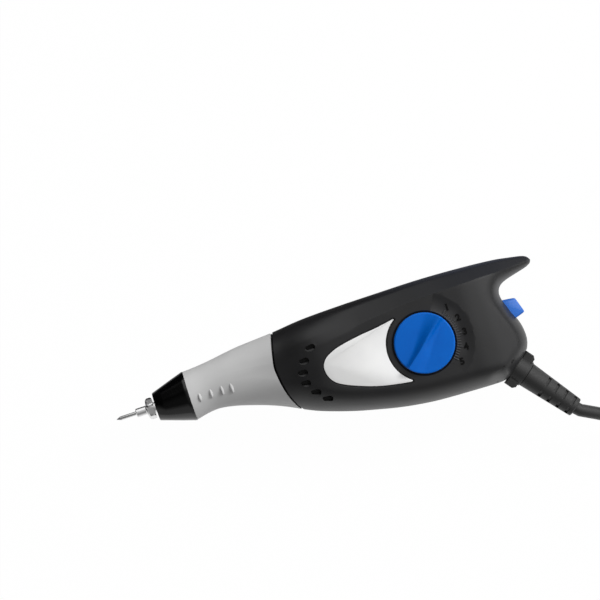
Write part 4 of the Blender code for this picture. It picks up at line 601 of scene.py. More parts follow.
def turned(profile, steps=64):
    """(x, r) points turned round the X axis; a profile that doesn't start on it closes on itself."""
    if profile[0][1] > 0:
        profile = profile + [profile[0]]
    bm = bmesh.new()
    turn = [2 * math.pi * k / steps for k in range(steps)]
    rings = [add_ring(bm, [(x, r * math.cos(a), r * math.sin(a)) for a in turn] if r > 0 else [(x, 0, 0)])
             for x, r in profile]
    for first, second in zip(rings, rings[1:]):
        if len(first) > 1 and len(second) > 1:
            bridge(bm, first, second)
        else:
            tip, ring = (first, second) if len(first) == 1 else (second, first)
            for j in range(len(ring)):
                bm.faces.new((tip[0], ring[j], ring[(j + 1) % len(ring)]))
    return closed(bm)


def stadium(at, length, width, lean, steps=10):
    """A slot's outline: two half circles joined by straight sides."""
    r, half = width / 2, (length - width) / 2
    ends = [(half, -math.pi / 2), (-half, math.pi / 2)]
    points = [(x + r * math.cos(start + math.pi * k / steps), r * math.sin(start + math.pi * k / steps))
              for x, start in ends for k in range(steps + 1)]
    c, s = math.cos(lean), math.sin(lean)
    return [(at[0] + x * c - y * s, at[1] + x * s + y * c) for x, y in points]


def box_at(low, high, place=Matrix()):
    """A box between two corners of its own frame."""
    bm = bmesh.new()
    verts = [bm.verts.new(place @ Vector((x, y, z))) for z in (low[2], high[2])
             for x, y in ((low[0], low[1]), (high[0], low[1]), (high[0], high[1]), (low[0], high[1]))]
    bm.faces.new(verts[3::-1])
    bm.faces.new(verts[4:])
    for k in range(4):
        n = (k + 1) % 4
        bm.faces.new((verts[k], verts[n], verts[n + 4], verts[k + 4]))
    return bm


def unit_cube():
    bm = bmesh.new()
    bmesh.ops.create_cube(bm, size=1.0)
    return bm


def loose(bm, name):
    """A helper object, such as a cutter, that is used up before the end."""
    data = bpy.data.meshes.new(name)
    bm.to_mesh(data)
    bm.free()
    return linked(name, data)


def baked(made, used=()):
    """The evaluated mesh of an object, as plain data, with the object and its helpers removed."""
    depsgraph = bpy.context.evaluated_depsgraph_get()
    data = bpy.data.meshes.new_from_object(made.evaluated_get(depsgraph))
    for other in (made, *used):
        bpy.data.objects.remove(other, do_unlink=True)
    return data


def cut(bm, name, *cutters, join=()):
    """Cuts and joins closed shapes and returns the finished mesh."""
    made = loose(bm, name)
    used = []
    for kind, shapes in (("UNION", join), ("DIFFERENCE", cutters)):
        for k, shape in enumerate(shapes):
            ready = isinstance(shape, bpy.types.Object)
            other = shape if ready else loose(shape, f"{name}_{kind.lower()}_{k}")
            step = made.modifiers.new(other.name, "BOOLEAN")
            step.operation = kind
            step.solver = "EXACT"
            step.use_self = kind == "DIFFERENCE"
            step.object = other
            used.append(other)
    return baked(made, used)


def repeated(name, mould, places, look):
    """Geometry Nodes: one moulded form set at many places, each with its own turn and scale."""
    seat = bpy.data.meshes.new(f"{name}_places")
    seat.from_pydata([tuple(m.translation) for m in places], [], [])
    turn = seat.attributes.new("turn", "FLOAT_VECTOR", "POINT")
    grow = seat.attributes.new("grow", "FLOAT_VECTOR", "POINT")
    for k, m in enumerate(places):
        turn.data[k].vector = m.to_euler()
        grow.data[k].vector = m.to_scale()
    made = linked(name, seat)
    form = loose(mould, f"{name}_form")
    tree = bpy.data.node_groups.new(name, "GeometryNodeTree")
    tree.interface.new_socket("Geometry", in_out="INPUT", socket_type="NodeSocketGeometry")
    size = tree.interface.new_socket("Size", in_out="INPUT", socket_type="NodeSocketFloat")
    tree.interface.new_socket("Geometry", in_out="OUTPUT", socket_type="NodeSocketGeometry")
    start = add(tree, "NodeGroupInput")
    shape = add(tree, "GeometryNodeObjectInfo", {"Object": form})
    angle, wide = (add(tree, "GeometryNodeInputNamedAttribute", {"data_type": "FLOAT_VECTOR", "Name": word})
                   for word in ("turn", "grow"))
    grown = add(tree, "ShaderNodeVectorMath", {"operation": "SCALE"}, i0=wide.outputs[0],
                Scale=start.outputs[1])
    spin = add(tree, "FunctionNodeEulerToRotation", Euler=angle.outputs[0])
    here = add(tree, "GeometryNodeInstanceOnPoints", Points=start.outputs[0],
               Instance=shape.outputs["Geometry"], Rotation=spin.outputs[0], Scale=grown.outputs[0])
    real = add(tree, "GeometryNodeRealizeInstances", Geometry=here.outputs[0])
    dressed = add(tree, "GeometryNodeSetMaterial", {"Material": look}, Geometry=real.outputs[0])
    add(tree, "NodeGroupOutput", Geometry=dressed.outputs[0])
    step = made.modifiers.new(name, "NODES")
    step.node_group = tree
    step[size.identifier] = 1.0
    return baked(made, [form])


# The cord: out of the guard, down to the bench, round in a coil and on to the plug.
EXIT_BEND = ((0.1921, -0.0587, 0.0006), (0.1956, -0.0606, 0.0018))  # x, y and the drop below the spindle
GUARD_TIP_HOLE = 1.5 * MM


def route(ends, between, lead=2 * CORD_R):
    """Evenly spaced points of a smooth line that leaves and meets its ends square."""
    (start, out), (end, into) = ends
    knots = [start, start + out * lead, *[Vector(p) for p in between], end - into * lead, end]
    along = np.concatenate([[0], np.cumsum([(b - a).length for a, b in zip(knots, knots[1:])])])
    fine = np.linspace(0, along[-1], max(4, round(along[-1] / CORD_STEP) * 3) + 1)
    return [Vector(p) for p in smooth_line(along, knots, fine)]


def coil_points():
    """Two layers of loops: in to the middle on the bench, up in half a turn, and out again on top."""
    pitch = 2 * CORD_R + COIL_GAP
    count = round(COIL_TURNS * COIL_PER_TURN)
    points = []
    for k in range(count + 1):
        t = COIL_TURNS * k / count
        past = t - COIL_TURNS / 2
        r = COIL_R - pitch * (COIL_TURNS / 2 - abs(past))
        climb = min(1, max(0, past / COIL_CLIMB_TURNS + 1 / 2))
        a = COIL_START + 2 * math.pi * t
        high = CORD_R + CORD_CLEAR - HALF_WIDTH + pitch * climb * climb * (3 - 2 * climb)
        points.append(Vector((COIL_AT[0] + r * math.cos(a), COIL_AT[1] + r * math.sin(a), high)))
    first, last = (points[0] - points[1]).normalized(), (points[-1] - points[-2]).normalized()
    return [points[0] + first * 2 * CORD_R, *points, points[-1] + last * 2 * CORD_R]


def cord_points():
    out = Matrix.Rotation(GUARD_LEAN, 3, "Z") @ Vector((1, 0, 0))
    tip = Vector((*GUARD_AT, 0)) + out * (GUARD_BASE / 2 + GUARD_LENGTH + FIT)
    coil = coil_points()
    into, away = (coil[1] - coil[0]).normalized(), (coil[-1] - coil[-2]).normalized()
    plug = Vector((*PLUG_AT, PLUG_THICK / 2 - HALF_WIDTH))
    lead_bends, tail_bends = [[(x, y, -drop) for x, y, drop in bends]
                              for bends in ((*EXIT_BEND, *LEAD_ROUTE[2:]), TAIL_ROUTE)]
    lead = route(((tip, out), (coil[0] - into * FIT, into)), lead_bends, lead=CORD_R / 2)
    tail = route(((coil[-1] + away * FIT, away), (plug, Vector((-1, 0, 0)))), tail_bends)
    return [TO_WORLD @ p for p in [tip - out * GUARD_TIP_HOLE, *lead, *coil, *tail]]


def cord_piece():
    points = cord_points()
    curve = bpy.data.curves.new("mains_cord", "CURVE")
    curve.dimensions = "3D"
    curve.bevel_depth = CORD_R
    curve.bevel_resolution = 6
    curve.use_fill_caps = True
    line = curve.splines.new("POLY")
    line.points.add(len(points) - 1)
    for point, at in zip(line.points, points):
        point.co = (*at, 1.0)
    line.use_smooth = True
    curve.materials.append(CORD)
    made = linked("mains_cord", curve)
    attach(made, "housing")
    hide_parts("cord_lead", "cord_coil", "cord_tail")
    length = sum((b - a).length for a, b in zip(points, points[1:]))
    return made, points[0], length


# Housing: two halves with a closed parting face, cut by the wells, vents, seats and holes.
DIAL_AT = place((DIAL_X_SHARE, -DIAL_Y_SHARE))
GUARD_AT = place(GUARD_AT_SHARES)
GUARD_LIE = Matrix.Translation((*GUARD_AT, 0.0)) @ Matrix.Rotation(GUARD_LEAN, 4, "Z")
WELL_Z = HALF_WIDTH - DIAL_SUNK - FIT
SLOT_DEEP = 1.5 * MM
SWITCH_SUNK, SWITCH_GAP, STEM_REACH = 0.45 * MM, 0.25 * MM, 3 * MM
WING_GROOVES, WING_PITCH, WING_GROOVE = 4, 0.85 * MM, 0.22 * MM
OVER = 2 * MM
# A vent from its dark depth outwards: how much it narrows, how far it moves to the tail, how deep it lies.
VENT_STEPS = ((0.55 * MM, 0.45 * MM, 6 * MM), (0.50 * MM, 0.40 * MM, 0.70 * MM),
              (0.40 * MM, 0.30 * MM, 0.50 * MM), (0.0, 0.0, 0.0), (-0.30 * MM, 0.0, -OVER))
# The groove's floor below is painted near black, as shade at the seam.
GRIP_END = 0.985  # the sleeve stops a little short, which leaves a dark groove beside the housing
GROOVE_DEEP = 0.45 * MM
RING_SLOPE = 1.1 * MM
TIP_TURN, TIP_ROUND, TIP_REACH = 0.09, 0.62, (1.3 * MM, 3.2 * MM)  # the plate's upper and lower tip
RIM = 0.30 * MM  # the soft rim round every moulded opening
DIMPLE_LENGTH, DIMPLE_WIDTH, DIMPLE_DEEP, DIMPLE_LEAN = 1.9 * MM, 1.0 * MM, 0.5 * MM, 0.5
DIMPLES_AT = ((0.1677, -0.0281), (0.1629, -0.0292))


def half_skin(side):
    lines = [[(x, y, side * z) for x, y, z in line] for line in shell_lines()]
    bm = bmesh.new()
    grid = [add_ring(bm, line) for line in lines]
    for first, second in zip(grid, grid[1:]):
        bridge(bm, first, second, around=False)
    bm.faces.new(grid[0])
    bm.faces.new([line[0] for line in grid] + grid[-1][1:-1] + [line[-1] for line in reversed(grid)])
    bmesh.ops.remove_doubles(bm, verts=bm.verts, dist=1e-6)
    bmesh.ops.dissolve_degenerate(bm, edges=bm.edges, dist=1e-6)
    bmesh.ops.recalc_face_normals(bm, faces=bm.faces)
    return bm


def round_dial(r, a):
    """The point at a radius and an angle from the dial's centre."""
    return DIAL_AT + r * np.array((math.cos(a), math.sin(a)))


def trimmed(line, first, last):
    """A line of points without its first and last stretch, of those lengths."""
    along = reaches(line)
    spots = [first, *(s for s in along if first < s < along[-1] - last), along[-1] - last]
    return np.stack([np.interp(spots, along, line[:, k]) for k in (0, 1)], axis=1)


def bend(start, corner, end):
    a, b = start + (corner - start) * TIP_ROUND, end + (corner - end) * TIP_ROUND
    return [(1 - t)**3 * start + 3 * (1 - t)**2 * t * a + 3 * (1 - t) * t * t * b + t**3 * end
            for t in np.linspace(0, 1, 14)[1:-1]]


def plate_outline(grow=0.0):
    """The plate's outline: a smooth nose, struck from the dial's centre beside the dial, with round tips."""
    scale = np.array((BODY_LENGTH, HEEL_DROP))
    upper, lower = [[DIAL_AT + scale * p for p in shares]
                    for shares in (PLATE_UPPER_SHARES, PLATE_LOWER_SHARES)]
    ends = [math.pi - math.asin(share * HEEL_DROP / PLATE_DIAL_R) for share in PLATE_TIP_SHARES]
    ends[0] -= TIP_TURN
    arc = np.array([round_dial(PLATE_DIAL_R, a) for a in np.linspace(*ends, 40)])
    chain = np.array([arc[-1], *lower, *upper, arc[0]])
    along = reaches(chain)
    nose = smooth_line(along, chain, np.linspace(0, along[-1], 90))
    high, low = TIP_REACH
    nose, side = trimmed(nose, low, high), trimmed(arc, high, low)
    loop = np.array([*nose, *bend(nose[-1], arc[0], side[0]), *side, *bend(side[-1], arc[-1], nose[0])])
    ahead, back = np.roll(loop, -1, axis=0) - loop, loop - np.roll(loop, 1, axis=0)
    way = sum(step / np.linalg.norm(step, axis=1)[:, None] for step in (ahead, back))
    way /= np.linalg.norm(way, axis=1)[:, None]
    return loop + grow * np.stack([-way[:, 1], way[:, 0]], axis=1)


def vent_cut(at, lean, side):
    """An oval dish with a deep slot towards its tail end: the dish's near rim catches the light."""
    top = float(skin_height(at))
    c, s = math.cos(lean), math.sin(lean)
    rings = []
    for shrink, shift, drop in VENT_STEPS:
        mid = (at[0] + shift * (c - s), at[1] + shift * (s + c))
        outline = stadium(mid, VENT_LENGTH - 2 * shrink, VENT_WIDTH - 2 * shrink, lean)
        rings.append((outline, side * (top - drop)))
    return layered(rings)


def ring_cut():
    turn = np.linspace(RING_START, RING_END, 60)

    def band(grow):
        return ([round_dial(RING_OUT + grow, a) for a in turn]
                + [round_dial(RING_IN - grow, a) for a in turn[::-1]])
    return layered([(band(0), HALF_WIDTH - RING_DEEP), (band(RING_SLOPE), HALF_WIDTH),
                    (band(RING_SLOPE), HALF_WIDTH + OVER)])


def rimmed_bore(at, floor, r, top, top_rise, turn, steps):
    """A round blind cut from its floor up, with a soft rim where it meets the skin."""
    past = HALF_WIDTH + OVER
    profile = [(floor, 0), (floor, r), (top - RIM, r), (top + top_rise, r + RIM), (past, r + RIM), (past, 0)]
    bm = turned(profile, steps)
    bm.transform(Matrix.Translation((*at, 0)) @ Matrix.Rotation(turn, 4, "Y"))
    return bm


def plate_cut():
    return layered([(plate_outline(PLATE_GROOVE + grow), z) for grow, z in (
        (0, HALF_WIDTH - PLATE_DEEP), (0, HALF_WIDTH - RIM), (RIM, HALF_WIDTH), (RIM, HALF_WIDTH + OVER))])


def wing_outline(grow=0.0, front=GUARD_WING_FRONT):
    """The guard's base seen from the side: square behind, with its outer corners taken off."""
    back, wide = FIT - GUARD_BACK - grow, GUARD_WING_R + grow
    slope = (GUARD_WING_R - GUARD_COLLAR_R) / 2
    low = [(back, -wide), (front, -wide), (front + slope, slope - wide)]
    return low + [(x, -y) for x, y in reversed(low)]


def guard_cuts():
    """The seats in the housing's end for the guard's neck and collar, and for its wings."""
    base, back, bore, wide = -GUARD_BASE - FIT, -GUARD_BACK - FIT, GUARD_NECK_R + FIT, GUARD_COLLAR_R + FIT
    round_seat = turned([(base, 0), (base, bore), (back, bore), (back, wide), (GUARD_BASE, wide),
                         (GUARD_BASE, 0)])
    thick = GUARD_WING_THICK / 2 + FIT
    wing_seat = layered([(wing_outline(FIT, GUARD_BASE), z) for z in (-thick, thick)])
    for bm in (round_seat, wing_seat):
        bm.transform(GUARD_LIE)
    return [round_seat, wing_seat]


def switch_frame():
    """X runs along the switch's travel, towards the spine, and Y into the housing from its rear face."""
    y = SWITCH_Y_SHARE * HEEL_DROP
    heel_up = REAR.line[REAR.line[:, 1] < 0]
    x = float(np.interp(y, heel_up[:, 1], heel_up[:, 0]))
    along = np.array((math.cos(SWITCH_LEAN), math.sin(SWITCH_LEAN)))
    out = np.array((along[1], -along[0]))
    near = [p for p in REAR.line - (x, y) if abs(p @ along) < SWITCH_LENGTH / 2 + SWITCH_TRAVEL]
    at = np.array((x, y)) + out * max(p @ out for p in near)
    return Matrix.Translation((*at, 0.0)) @ Matrix.Rotation(SWITCH_LEAN, 4, "Z")


def switch_foot(grow=0.0, swept=0.0):
    """The thumb piece's underside: it lies a little inside the rear face, in a pocket cut for it.

    With `swept`, the line that the underside reaches over that much travel.
    """
    local = np.array([switch_frame().inverted() @ Vector((x, y, 0)) for x, y in REAR.line])
    local = local[np.argsort(local[:, 0])] if local[0, 0] > local[-1, 0] else local
    near = local[abs(local[:, 0]) < SWITCH_LENGTH + SWITCH_TRAVEL]
    half = SWITCH_LENGTH / 2
    points = []
    for x in np.linspace(-half - grow, half + grow + swept, 25):
        spots = np.clip(np.linspace(x - swept - grow, x + grow, 9), -half, half)
        points.append((float(x), float(np.interp(spots, near[:, 0], near[:, 1]).max()) + SWITCH_SUNK + grow))
    return points


def switch_cuts():
    """The slot that the stem slides in and the shallow pocket under the thumb piece."""
    wide, side = SWITCH_STEM / 2 + FIT, SWITCH_WIDTH / 2 + SWITCH_GAP
    slot = box_at((-wide, -OVER, -wide), (wide + SWITCH_TRAVEL, STEM_REACH, wide), switch_frame())
    floor = switch_foot(SWITCH_GAP, SWITCH_TRAVEL)
    outline = floor + [(floor[-1][0], -2 * OVER), (floor[0][0], -2 * OVER)]
    pocket = layered([(outline, -side), (outline, side)])
    pocket.transform(switch_frame())
    return [slot, pocket]


def screw_cut(at):
    """A counterbore from the hidden side."""
    top = float(skin_height(at))
    return rimmed_bore(at, SCREW_SEAT, SCREW_HEAD_R + FIT, top, 0.05 * MM, math.pi / 2, 32)


def dimple_cut(at):
    """A small blind mark beside the cord guard."""
    top = float(skin_height(at))
    return layered([(stadium(at, DIMPLE_LENGTH + grow, DIMPLE_WIDTH + grow, DIMPLE_LEAN), top + rise)
                    for grow, rise in ((0, -DIMPLE_DEEP), (0.4 * MM, OVER))])


def housing_half(side):
    cutters = [vent_cut(place((x, y)), math.radians(lean), side) for x, y, lean in VENT_SHARES]
    cutters += [*guard_cuts(), *switch_cuts()]
    if side > 0:
        well = rimmed_bore(DIAL_AT, WELL_Z, DIAL_R + DIAL_GAP, HALF_WIDTH, 0, -math.pi / 2, 96)
        cutters += [well, plate_cut(), ring_cut(), *(dimple_cut(at) for at in DIMPLES_AT)]
    else:
        cutters += [screw_cut(place(p)) for p in SCREW_SHARES]
    name = "housing_dial_side" if side > 0 else "housing_plain_side"
    mesh = cut(half_skin(side), name, *cutters)
    mesh.transform(TO_WORLD)
    node = "housing_left" if side > 0 else "housing_right"
    return piece(name, mesh, HOUSING, "housing", node, slot="housing_black", soft=math.radians(24))


# Grip sleeve with its finger ribs, and the floor of the groove behind it, near black as painted shade.
RIB_SUNK = 0.5 * MM


def sleeve(shares, drop):
    """A closed sleeve over those shares of the neck, this far below the skin."""
    return loft([sleeve_ring(k, drop) for k in shares] + [sleeve_ring(k, SLEEVE_WALL) for k in shares[::-1]],
                around=True)


def grip_piece():
    bm = sleeve(np.linspace(0, GRIP_END, SLEEVE_STATIONS * FINE + 1), 0.0)
    bump = bmesh.new()
    bmesh.ops.create_uvsphere(bump, u_segments=24, v_segments=14, radius=1.0)
    places = []
    for x, y, tall in RIB_SHARES:
        at = place((x, y))
        z = float(skin_height(at, 0.0, 0.0))
        size = Matrix.Diagonal((RIB_WIDTH / 2, tall * HEEL_DROP / 2, RIB_PROUD + RIB_SUNK, 1))
        places += [Matrix.Translation((*at, side * (z - RIB_SUNK))) @ size for side in (1, -1)]
    bm.from_mesh(repeated("grip_ribs", bump, places, GRIP))
    # The groove's floor is the housing's neck, but it takes the near-black numbers' finish: painted shade
    # that deepens the dark line at the seam.
    groove = sleeve(np.linspace(GRIP_END + 0.001, 1.0, 4), GROOVE_DEEP)
    piece("grip_groove_floor", world(groove), MARK_AND_GROOVE_SHADE, "housing", slot="housing_black")
    return piece("grip_sleeve_soft", world(bm), GRIP, "housing", "grip_sleeve", slot="grip_grey")


# Nose cap, chuck and point.
CAP_PROFILE = (
    (0.0, 0.555), (0.015, 0.575), (0.26, 0.690), (0.62, 0.862), (0.90, 0.986), (0.94, 1.006), (0.99, 1.010),
)
CAP_LIP = 1.15 * MM  # how far the cap's rim reaches over the sleeve
CHUCK_EDGE = 0.25 * MM
POINT_EDGE = 0.05 * MM


def cap_piece():
    rear_x, rear_r = BODY_START - FIT, TOP_SHARES[0][1] * SPINE_RISE
    outer = [(CAP_FRONT + x * (rear_x + CAP_LIP - CAP_FRONT), r * rear_r) for x, r in CAP_PROFILE]
    outer += [(rear_x + CAP_LIP, rear_r)]
    seat, stop = rear_r - SLEEVE_WALL, NECK_START - FIT
    recess, recess_r = CHUCK_FLANGE_X + CHUCK_FLANGE_LENGTH + STROKE + FIT, CHUCK_FLANGE_R + FIT
    inner = [(rear_x, seat), (stop, seat), (stop, CAP_BORE_R), (recess, CAP_BORE_R), (recess, recess_r),
             (CAP_FRONT, recess_r)]
    bm = world(turned(outer + inner, 96))
    return piece("nose_cap_glossy", bm, CAP, "housing", "nose_cap", slot="cap_black")


def nut_reach(a, round_r):
    """The nut's edge along the angle a from +Z: a flat's reach, but no more than the turned-off corner's."""
    past = (a - CHUCK_REST) % (math.pi / 3) - math.pi / 6
    return min(CHUCK_FLANGE_R * math.cos(math.pi / 6) / math.cos(past), round_r)


def chuck_piece():
    """A collar and a hexagonal nut whose corners are turned off, both bright from the lathe."""
    bore, stub = POINT_R + FIT, SPINDLE_STUB_R + FIT
    x0, x1 = CHUCK_FRONT, CHUCK_FLANGE_X
    x2, wall = x1 + CHUCK_FLANGE_LENGTH, SPINDLE_FRONT - FIT
    edge, full = CHUCK_EDGE, CHUCK_FLANGE_R
    collar = ((x0, bore), (x0, CHUCK_R - edge), (x0 + edge, CHUCK_R), (x1 - edge, CHUCK_R),
              (x1, CHUCK_R + edge))
    nut = ((x1 + CHUCK_BEVEL * 0.35, full * 0.82), (x1 + CHUCK_BEVEL * 0.7, full * 0.93),
           (x1 + CHUCK_BEVEL, full * 0.995), (x2 - 2 * edge, full * 0.995), (x2, full * 0.91))
    inside = ((x2, stub), (wall, stub), (wall, bore))
    turn = np.linspace(0, 2 * math.pi, 96, endpoint=False)
    rings = []
    for steps, flats in ((collar, False), (nut, True), (inside, False)):
        for x, r in steps:
            reach = [nut_reach(a, r) if flats else r for a in turn]
            rings.append([(x, s * math.sin(a), s * math.cos(a)) for a, s in zip(turn, reach)])
    bm = world(loft(rings, around=True))
    return piece("chuck_nut_ground", bm, STEEL, "chuck", "chuck_nut", slot="bright_steel",
                 soft=math.radians(24))


def point_piece():
    start, ground = POINT_CONE, POINT_R - POINT_EDGE
    shank = turned([(start, 0), (start, ground), (start + 2 * POINT_EDGE, POINT_R), (POINT_LENGTH, POINT_R),
                    (POINT_LENGTH, 0)], 32)
    piece("point_shank", world(shank), STEEL, "point", "engraving_point", slot="bright_steel")
    tip = turned([(0, 0), (0.02 * MM, POINT_TIP_R * 0.7), (0.1 * MM, POINT_TIP_R),
                  (start - 0.5 * MM, ground), (start, ground), (start, 0)], 32)
    return piece("carbide_tip_ground", world(tip), CARBIDE, "point", "carbide_tip", slot="core_steel")


# Dial: a disc with a fin across it, hollowed on both sides so that the fin bends like an S.
FIN_DROP = 2.6 * MM
FIN_HALF = 0.15 * MM
FIN_STEEP = 1.8 * MM
FIN_WIDE = 7.5 * MM
FIN_SOFT = 0.10  # the share of a flank that is rounded off towards the crest
FIN_SWAY = 0.25 * MM
DIAL_ROUND = 0.5 * MM
DIAL_EDGE_STEPS = ((0.07 * MM, 0.22 * MM), (0.25 * MM, 0.40 * MM), (0.5 * MM, 0.5 * MM))  # drop, way out
DIAL_RINGS, DIAL_STEPS = 44, 128


def dial_height(x, y):
    """How far the face lies below the fin's crest at a point of the disc, in the fin's own frame."""
    lean = np.clip((x / DIAL_R + 1) / 2, 0, 1)
    left, right = (FIN_STEEP + (FIN_WIDE - FIN_STEEP) * share**1.4 for share in (lean, 1 - lean))
    off = y - FIN_SWAY * math.sin(math.pi * x / DIAL_R)
    t = np.clip((abs(off) - FIN_HALF) / (left if off > 0 else right), 0, 1)
    soft = t * t / (t + FIN_SOFT)
    return FIN_DROP * (1 + FIN_SOFT) * soft * (2 - soft * (1 + FIN_SOFT))


def dial_piece():
    top, low, face_r = HALF_WIDTH + DIAL_PROUD, WELL_Z + FIT, DIAL_R - DIAL_ROUND
    turn = np.linspace(0, 2 * math.pi, DIAL_STEPS, endpoint=False)
    bm = bmesh.new()

    def ring(r, drop=0.0):
        near = min(r, face_r)
        heights = [top - drop - dial_height(near * math.cos(a), near * math.sin(a)) for a in turn]
        return add_ring(bm, [(r * math.cos(a), r * math.sin(a), z) for a, z in zip(turn, heights)])
    grid = [ring(face_r * k / DIAL_RINGS) for k in range(1, DIAL_RINGS + 1)]
    mid = bm.verts.new((0, 0, top - dial_height(0, 0)))
    for j in range(DIAL_STEPS):
        bm.faces.new((mid, grid[0][j], grid[0][(j + 1) % DIAL_STEPS]))
    grid += [ring(face_r + out, drop) for drop, out in DIAL_EDGE_STEPS]
    grid.append(add_ring(bm, [(DIAL_R * math.cos(a), DIAL_R * math.sin(a), low) for a in turn]))
    for first, second in zip(grid, grid[1:]):
        bridge(bm, first, second)
    bm.faces.new(grid[-1][::-1])
    bm.transform(Matrix.Translation((*DIAL_AT, 0)) @ Matrix.Rotation(DIAL_REST, 4, "Z"))
    closed(bm)
    return piece("dial_with_fin", world(bm), DIAL, "dial", "stroke_dial", slot="dial_blue",
                 soft=math.radians(40))


# Scale: raised numbers and ticks in the recessed ring; the ticks are lighter grey, a painted highlight.
NUMBERS = (("1", 40), ("2", 19), ("3", -2), ("4", -23), ("5", -44))
NUMBER_R, NUMBER_SIZE = 17.7 * MM, 3.9 * MM
NUMBER_RISE, NUMBER_HIGH, NUMBER_FAT = 0.08 * MM, 0.14 * MM, 0.17 * MM
TICKS, TICKS_PER_NUMBER = 21, 5
TICK_START, TICK_END, TICK_WIDE = 13.8 * MM, 16.3 * MM, 0.42 * MM


def number_pieces():
    for word, angle in NUMBERS:
        data = bpy.data.curves.new(f"number_{word}", "FONT")
        data.body = word
        data.size = NUMBER_SIZE
        data.extrude = NUMBER_HIGH
        data.offset = NUMBER_FAT
        data.align_x = "CENTER"
        data.align_y = "CENTER"
        data.resolution_u = 4
        mesh = baked(linked(f"number_{word}", data))
        at = round_dial(NUMBER_R, math.radians(angle))
        mesh.transform(TO_WORLD @ Matrix.Translation((*at, HALF_WIDTH - RING_DEEP + NUMBER_RISE)))
        piece(f"number_{word}", mesh, MARK_AND_GROOVE_SHADE, "housing", slot="cap_black")


def tick_pieces():
    bar = bmesh.new()
    bmesh.ops.create_cone(bar, cap_ends=True, segments=16, radius1=1.0, radius2=1.0, depth=1.0,
                          matrix=Matrix.Rotation(math.pi / 2, 4, "Y"))
    places = []
    for k in range(TICKS):
        a = math.radians(NUMBERS[0][1] + (NUMBERS[-1][1] - NUMBERS[0][1]) * k / (TICKS - 1))
        end = TICK_END if k % TICKS_PER_NUMBER == 0 else (TICK_START + 2 * TICK_END) / 3
        size = Matrix.Diagonal((end - TICK_START, TICK_WIDE / 2, RING_DEEP, 1))
        at = Matrix.Translation((*round_dial((TICK_START + end) / 2, a), HALF_WIDTH - RING_DEEP / 2))
        places.append(at @ Matrix.Rotation(a, 4, "Z") @ size)
    # The ticks take the lighter grey finish, which paints the highlight on their ridges.
    mesh = repeated("scale_ticks", bar, places, STROKES_PAINTED_HIGHLIGHT)
    mesh.transform(TO_WORLD)
    piece("scale_ticks", mesh, STROKES_PAINTED_HIGHLIGHT, "housing", slot="housing_black")


def plate_piece():
    low = HALF_WIDTH - PLATE_DEEP + FIT / 2
    top = low + PLATE_THICK
    bm = layered([(plate_outline(grow), z) for grow, z in (
        (0, low), (0, top - 0.12 * MM), (-0.05 * MM, top - 0.04 * MM), (-0.14 * MM, top))])
    return piece("side_plate_bare", world(bm), PLATE, "housing", "name_plate", slot="plate_silver")


# Switch: a slanted thumb piece with inset grooves, on a stem through the rear face.
def switch_piece():
    half, wide, skirt, stem = SWITCH_LENGTH / 2, SWITCH_WIDTH / 2, SWITCH_SKIRT, SWITCH_STEM / 2
    top, soft, front = -SWITCH_PROUD, SWITCH_PROUD / 4, SWITCH_LENGTH / 2 - SWITCH_SLOPE
    corner = [(front + soft * out, top + soft * drop)
              for out, drop in ((0.35, 1), (-0.05, 0.3), (-0.45, 0.06), (-1, 0))]
    heel = [(soft * out - half, top + soft * drop) for out, drop in ((1, 0), (0.4, 0.1), (0.1, 0.4), (0, 1))]
    section = switch_foot() + corner + heel
    near = ((-wide, skirt / 2), (skirt / 4 - wide, skirt / 8), (skirt - wide, 0.0))
    ends = near + tuple((-z, draw) for z, draw in reversed(near))
    bm = loft([[(x * (1 - draw / half), max(y, top + draw), z) for x, y in section] for z, draw in ends])
    groove = bmesh.new()
    bmesh.ops.create_cone(groove, cap_ends=True, segments=20, radius1=SWITCH_GROOVE, radius2=SWITCH_GROOVE,
                          depth=SWITCH_WIDTH - 3 * skirt)
    pitch = (SWITCH_LENGTH - SWITCH_SLOPE) / (SWITCH_GROOVES + 1)
    places = [Matrix.Translation((pitch * (k + 1) - half, top, 0)) for k in range(SWITCH_GROOVES)]
    cutter = linked("switch_groove_cutter", repeated("switch_grooves", groove, places, SWITCH))
    mesh = cut(bm, "switch_thumb", cutter, join=(box_at((-stem, -skirt, -stem), (stem, STEM_REACH, stem)),))
    mesh.transform(TO_WORLD @ switch_frame())
    return piece("switch_thumb_piece", mesh, SWITCH, "switch", "switch_slider", slot="dial_blue",
                 soft=math.radians(40))


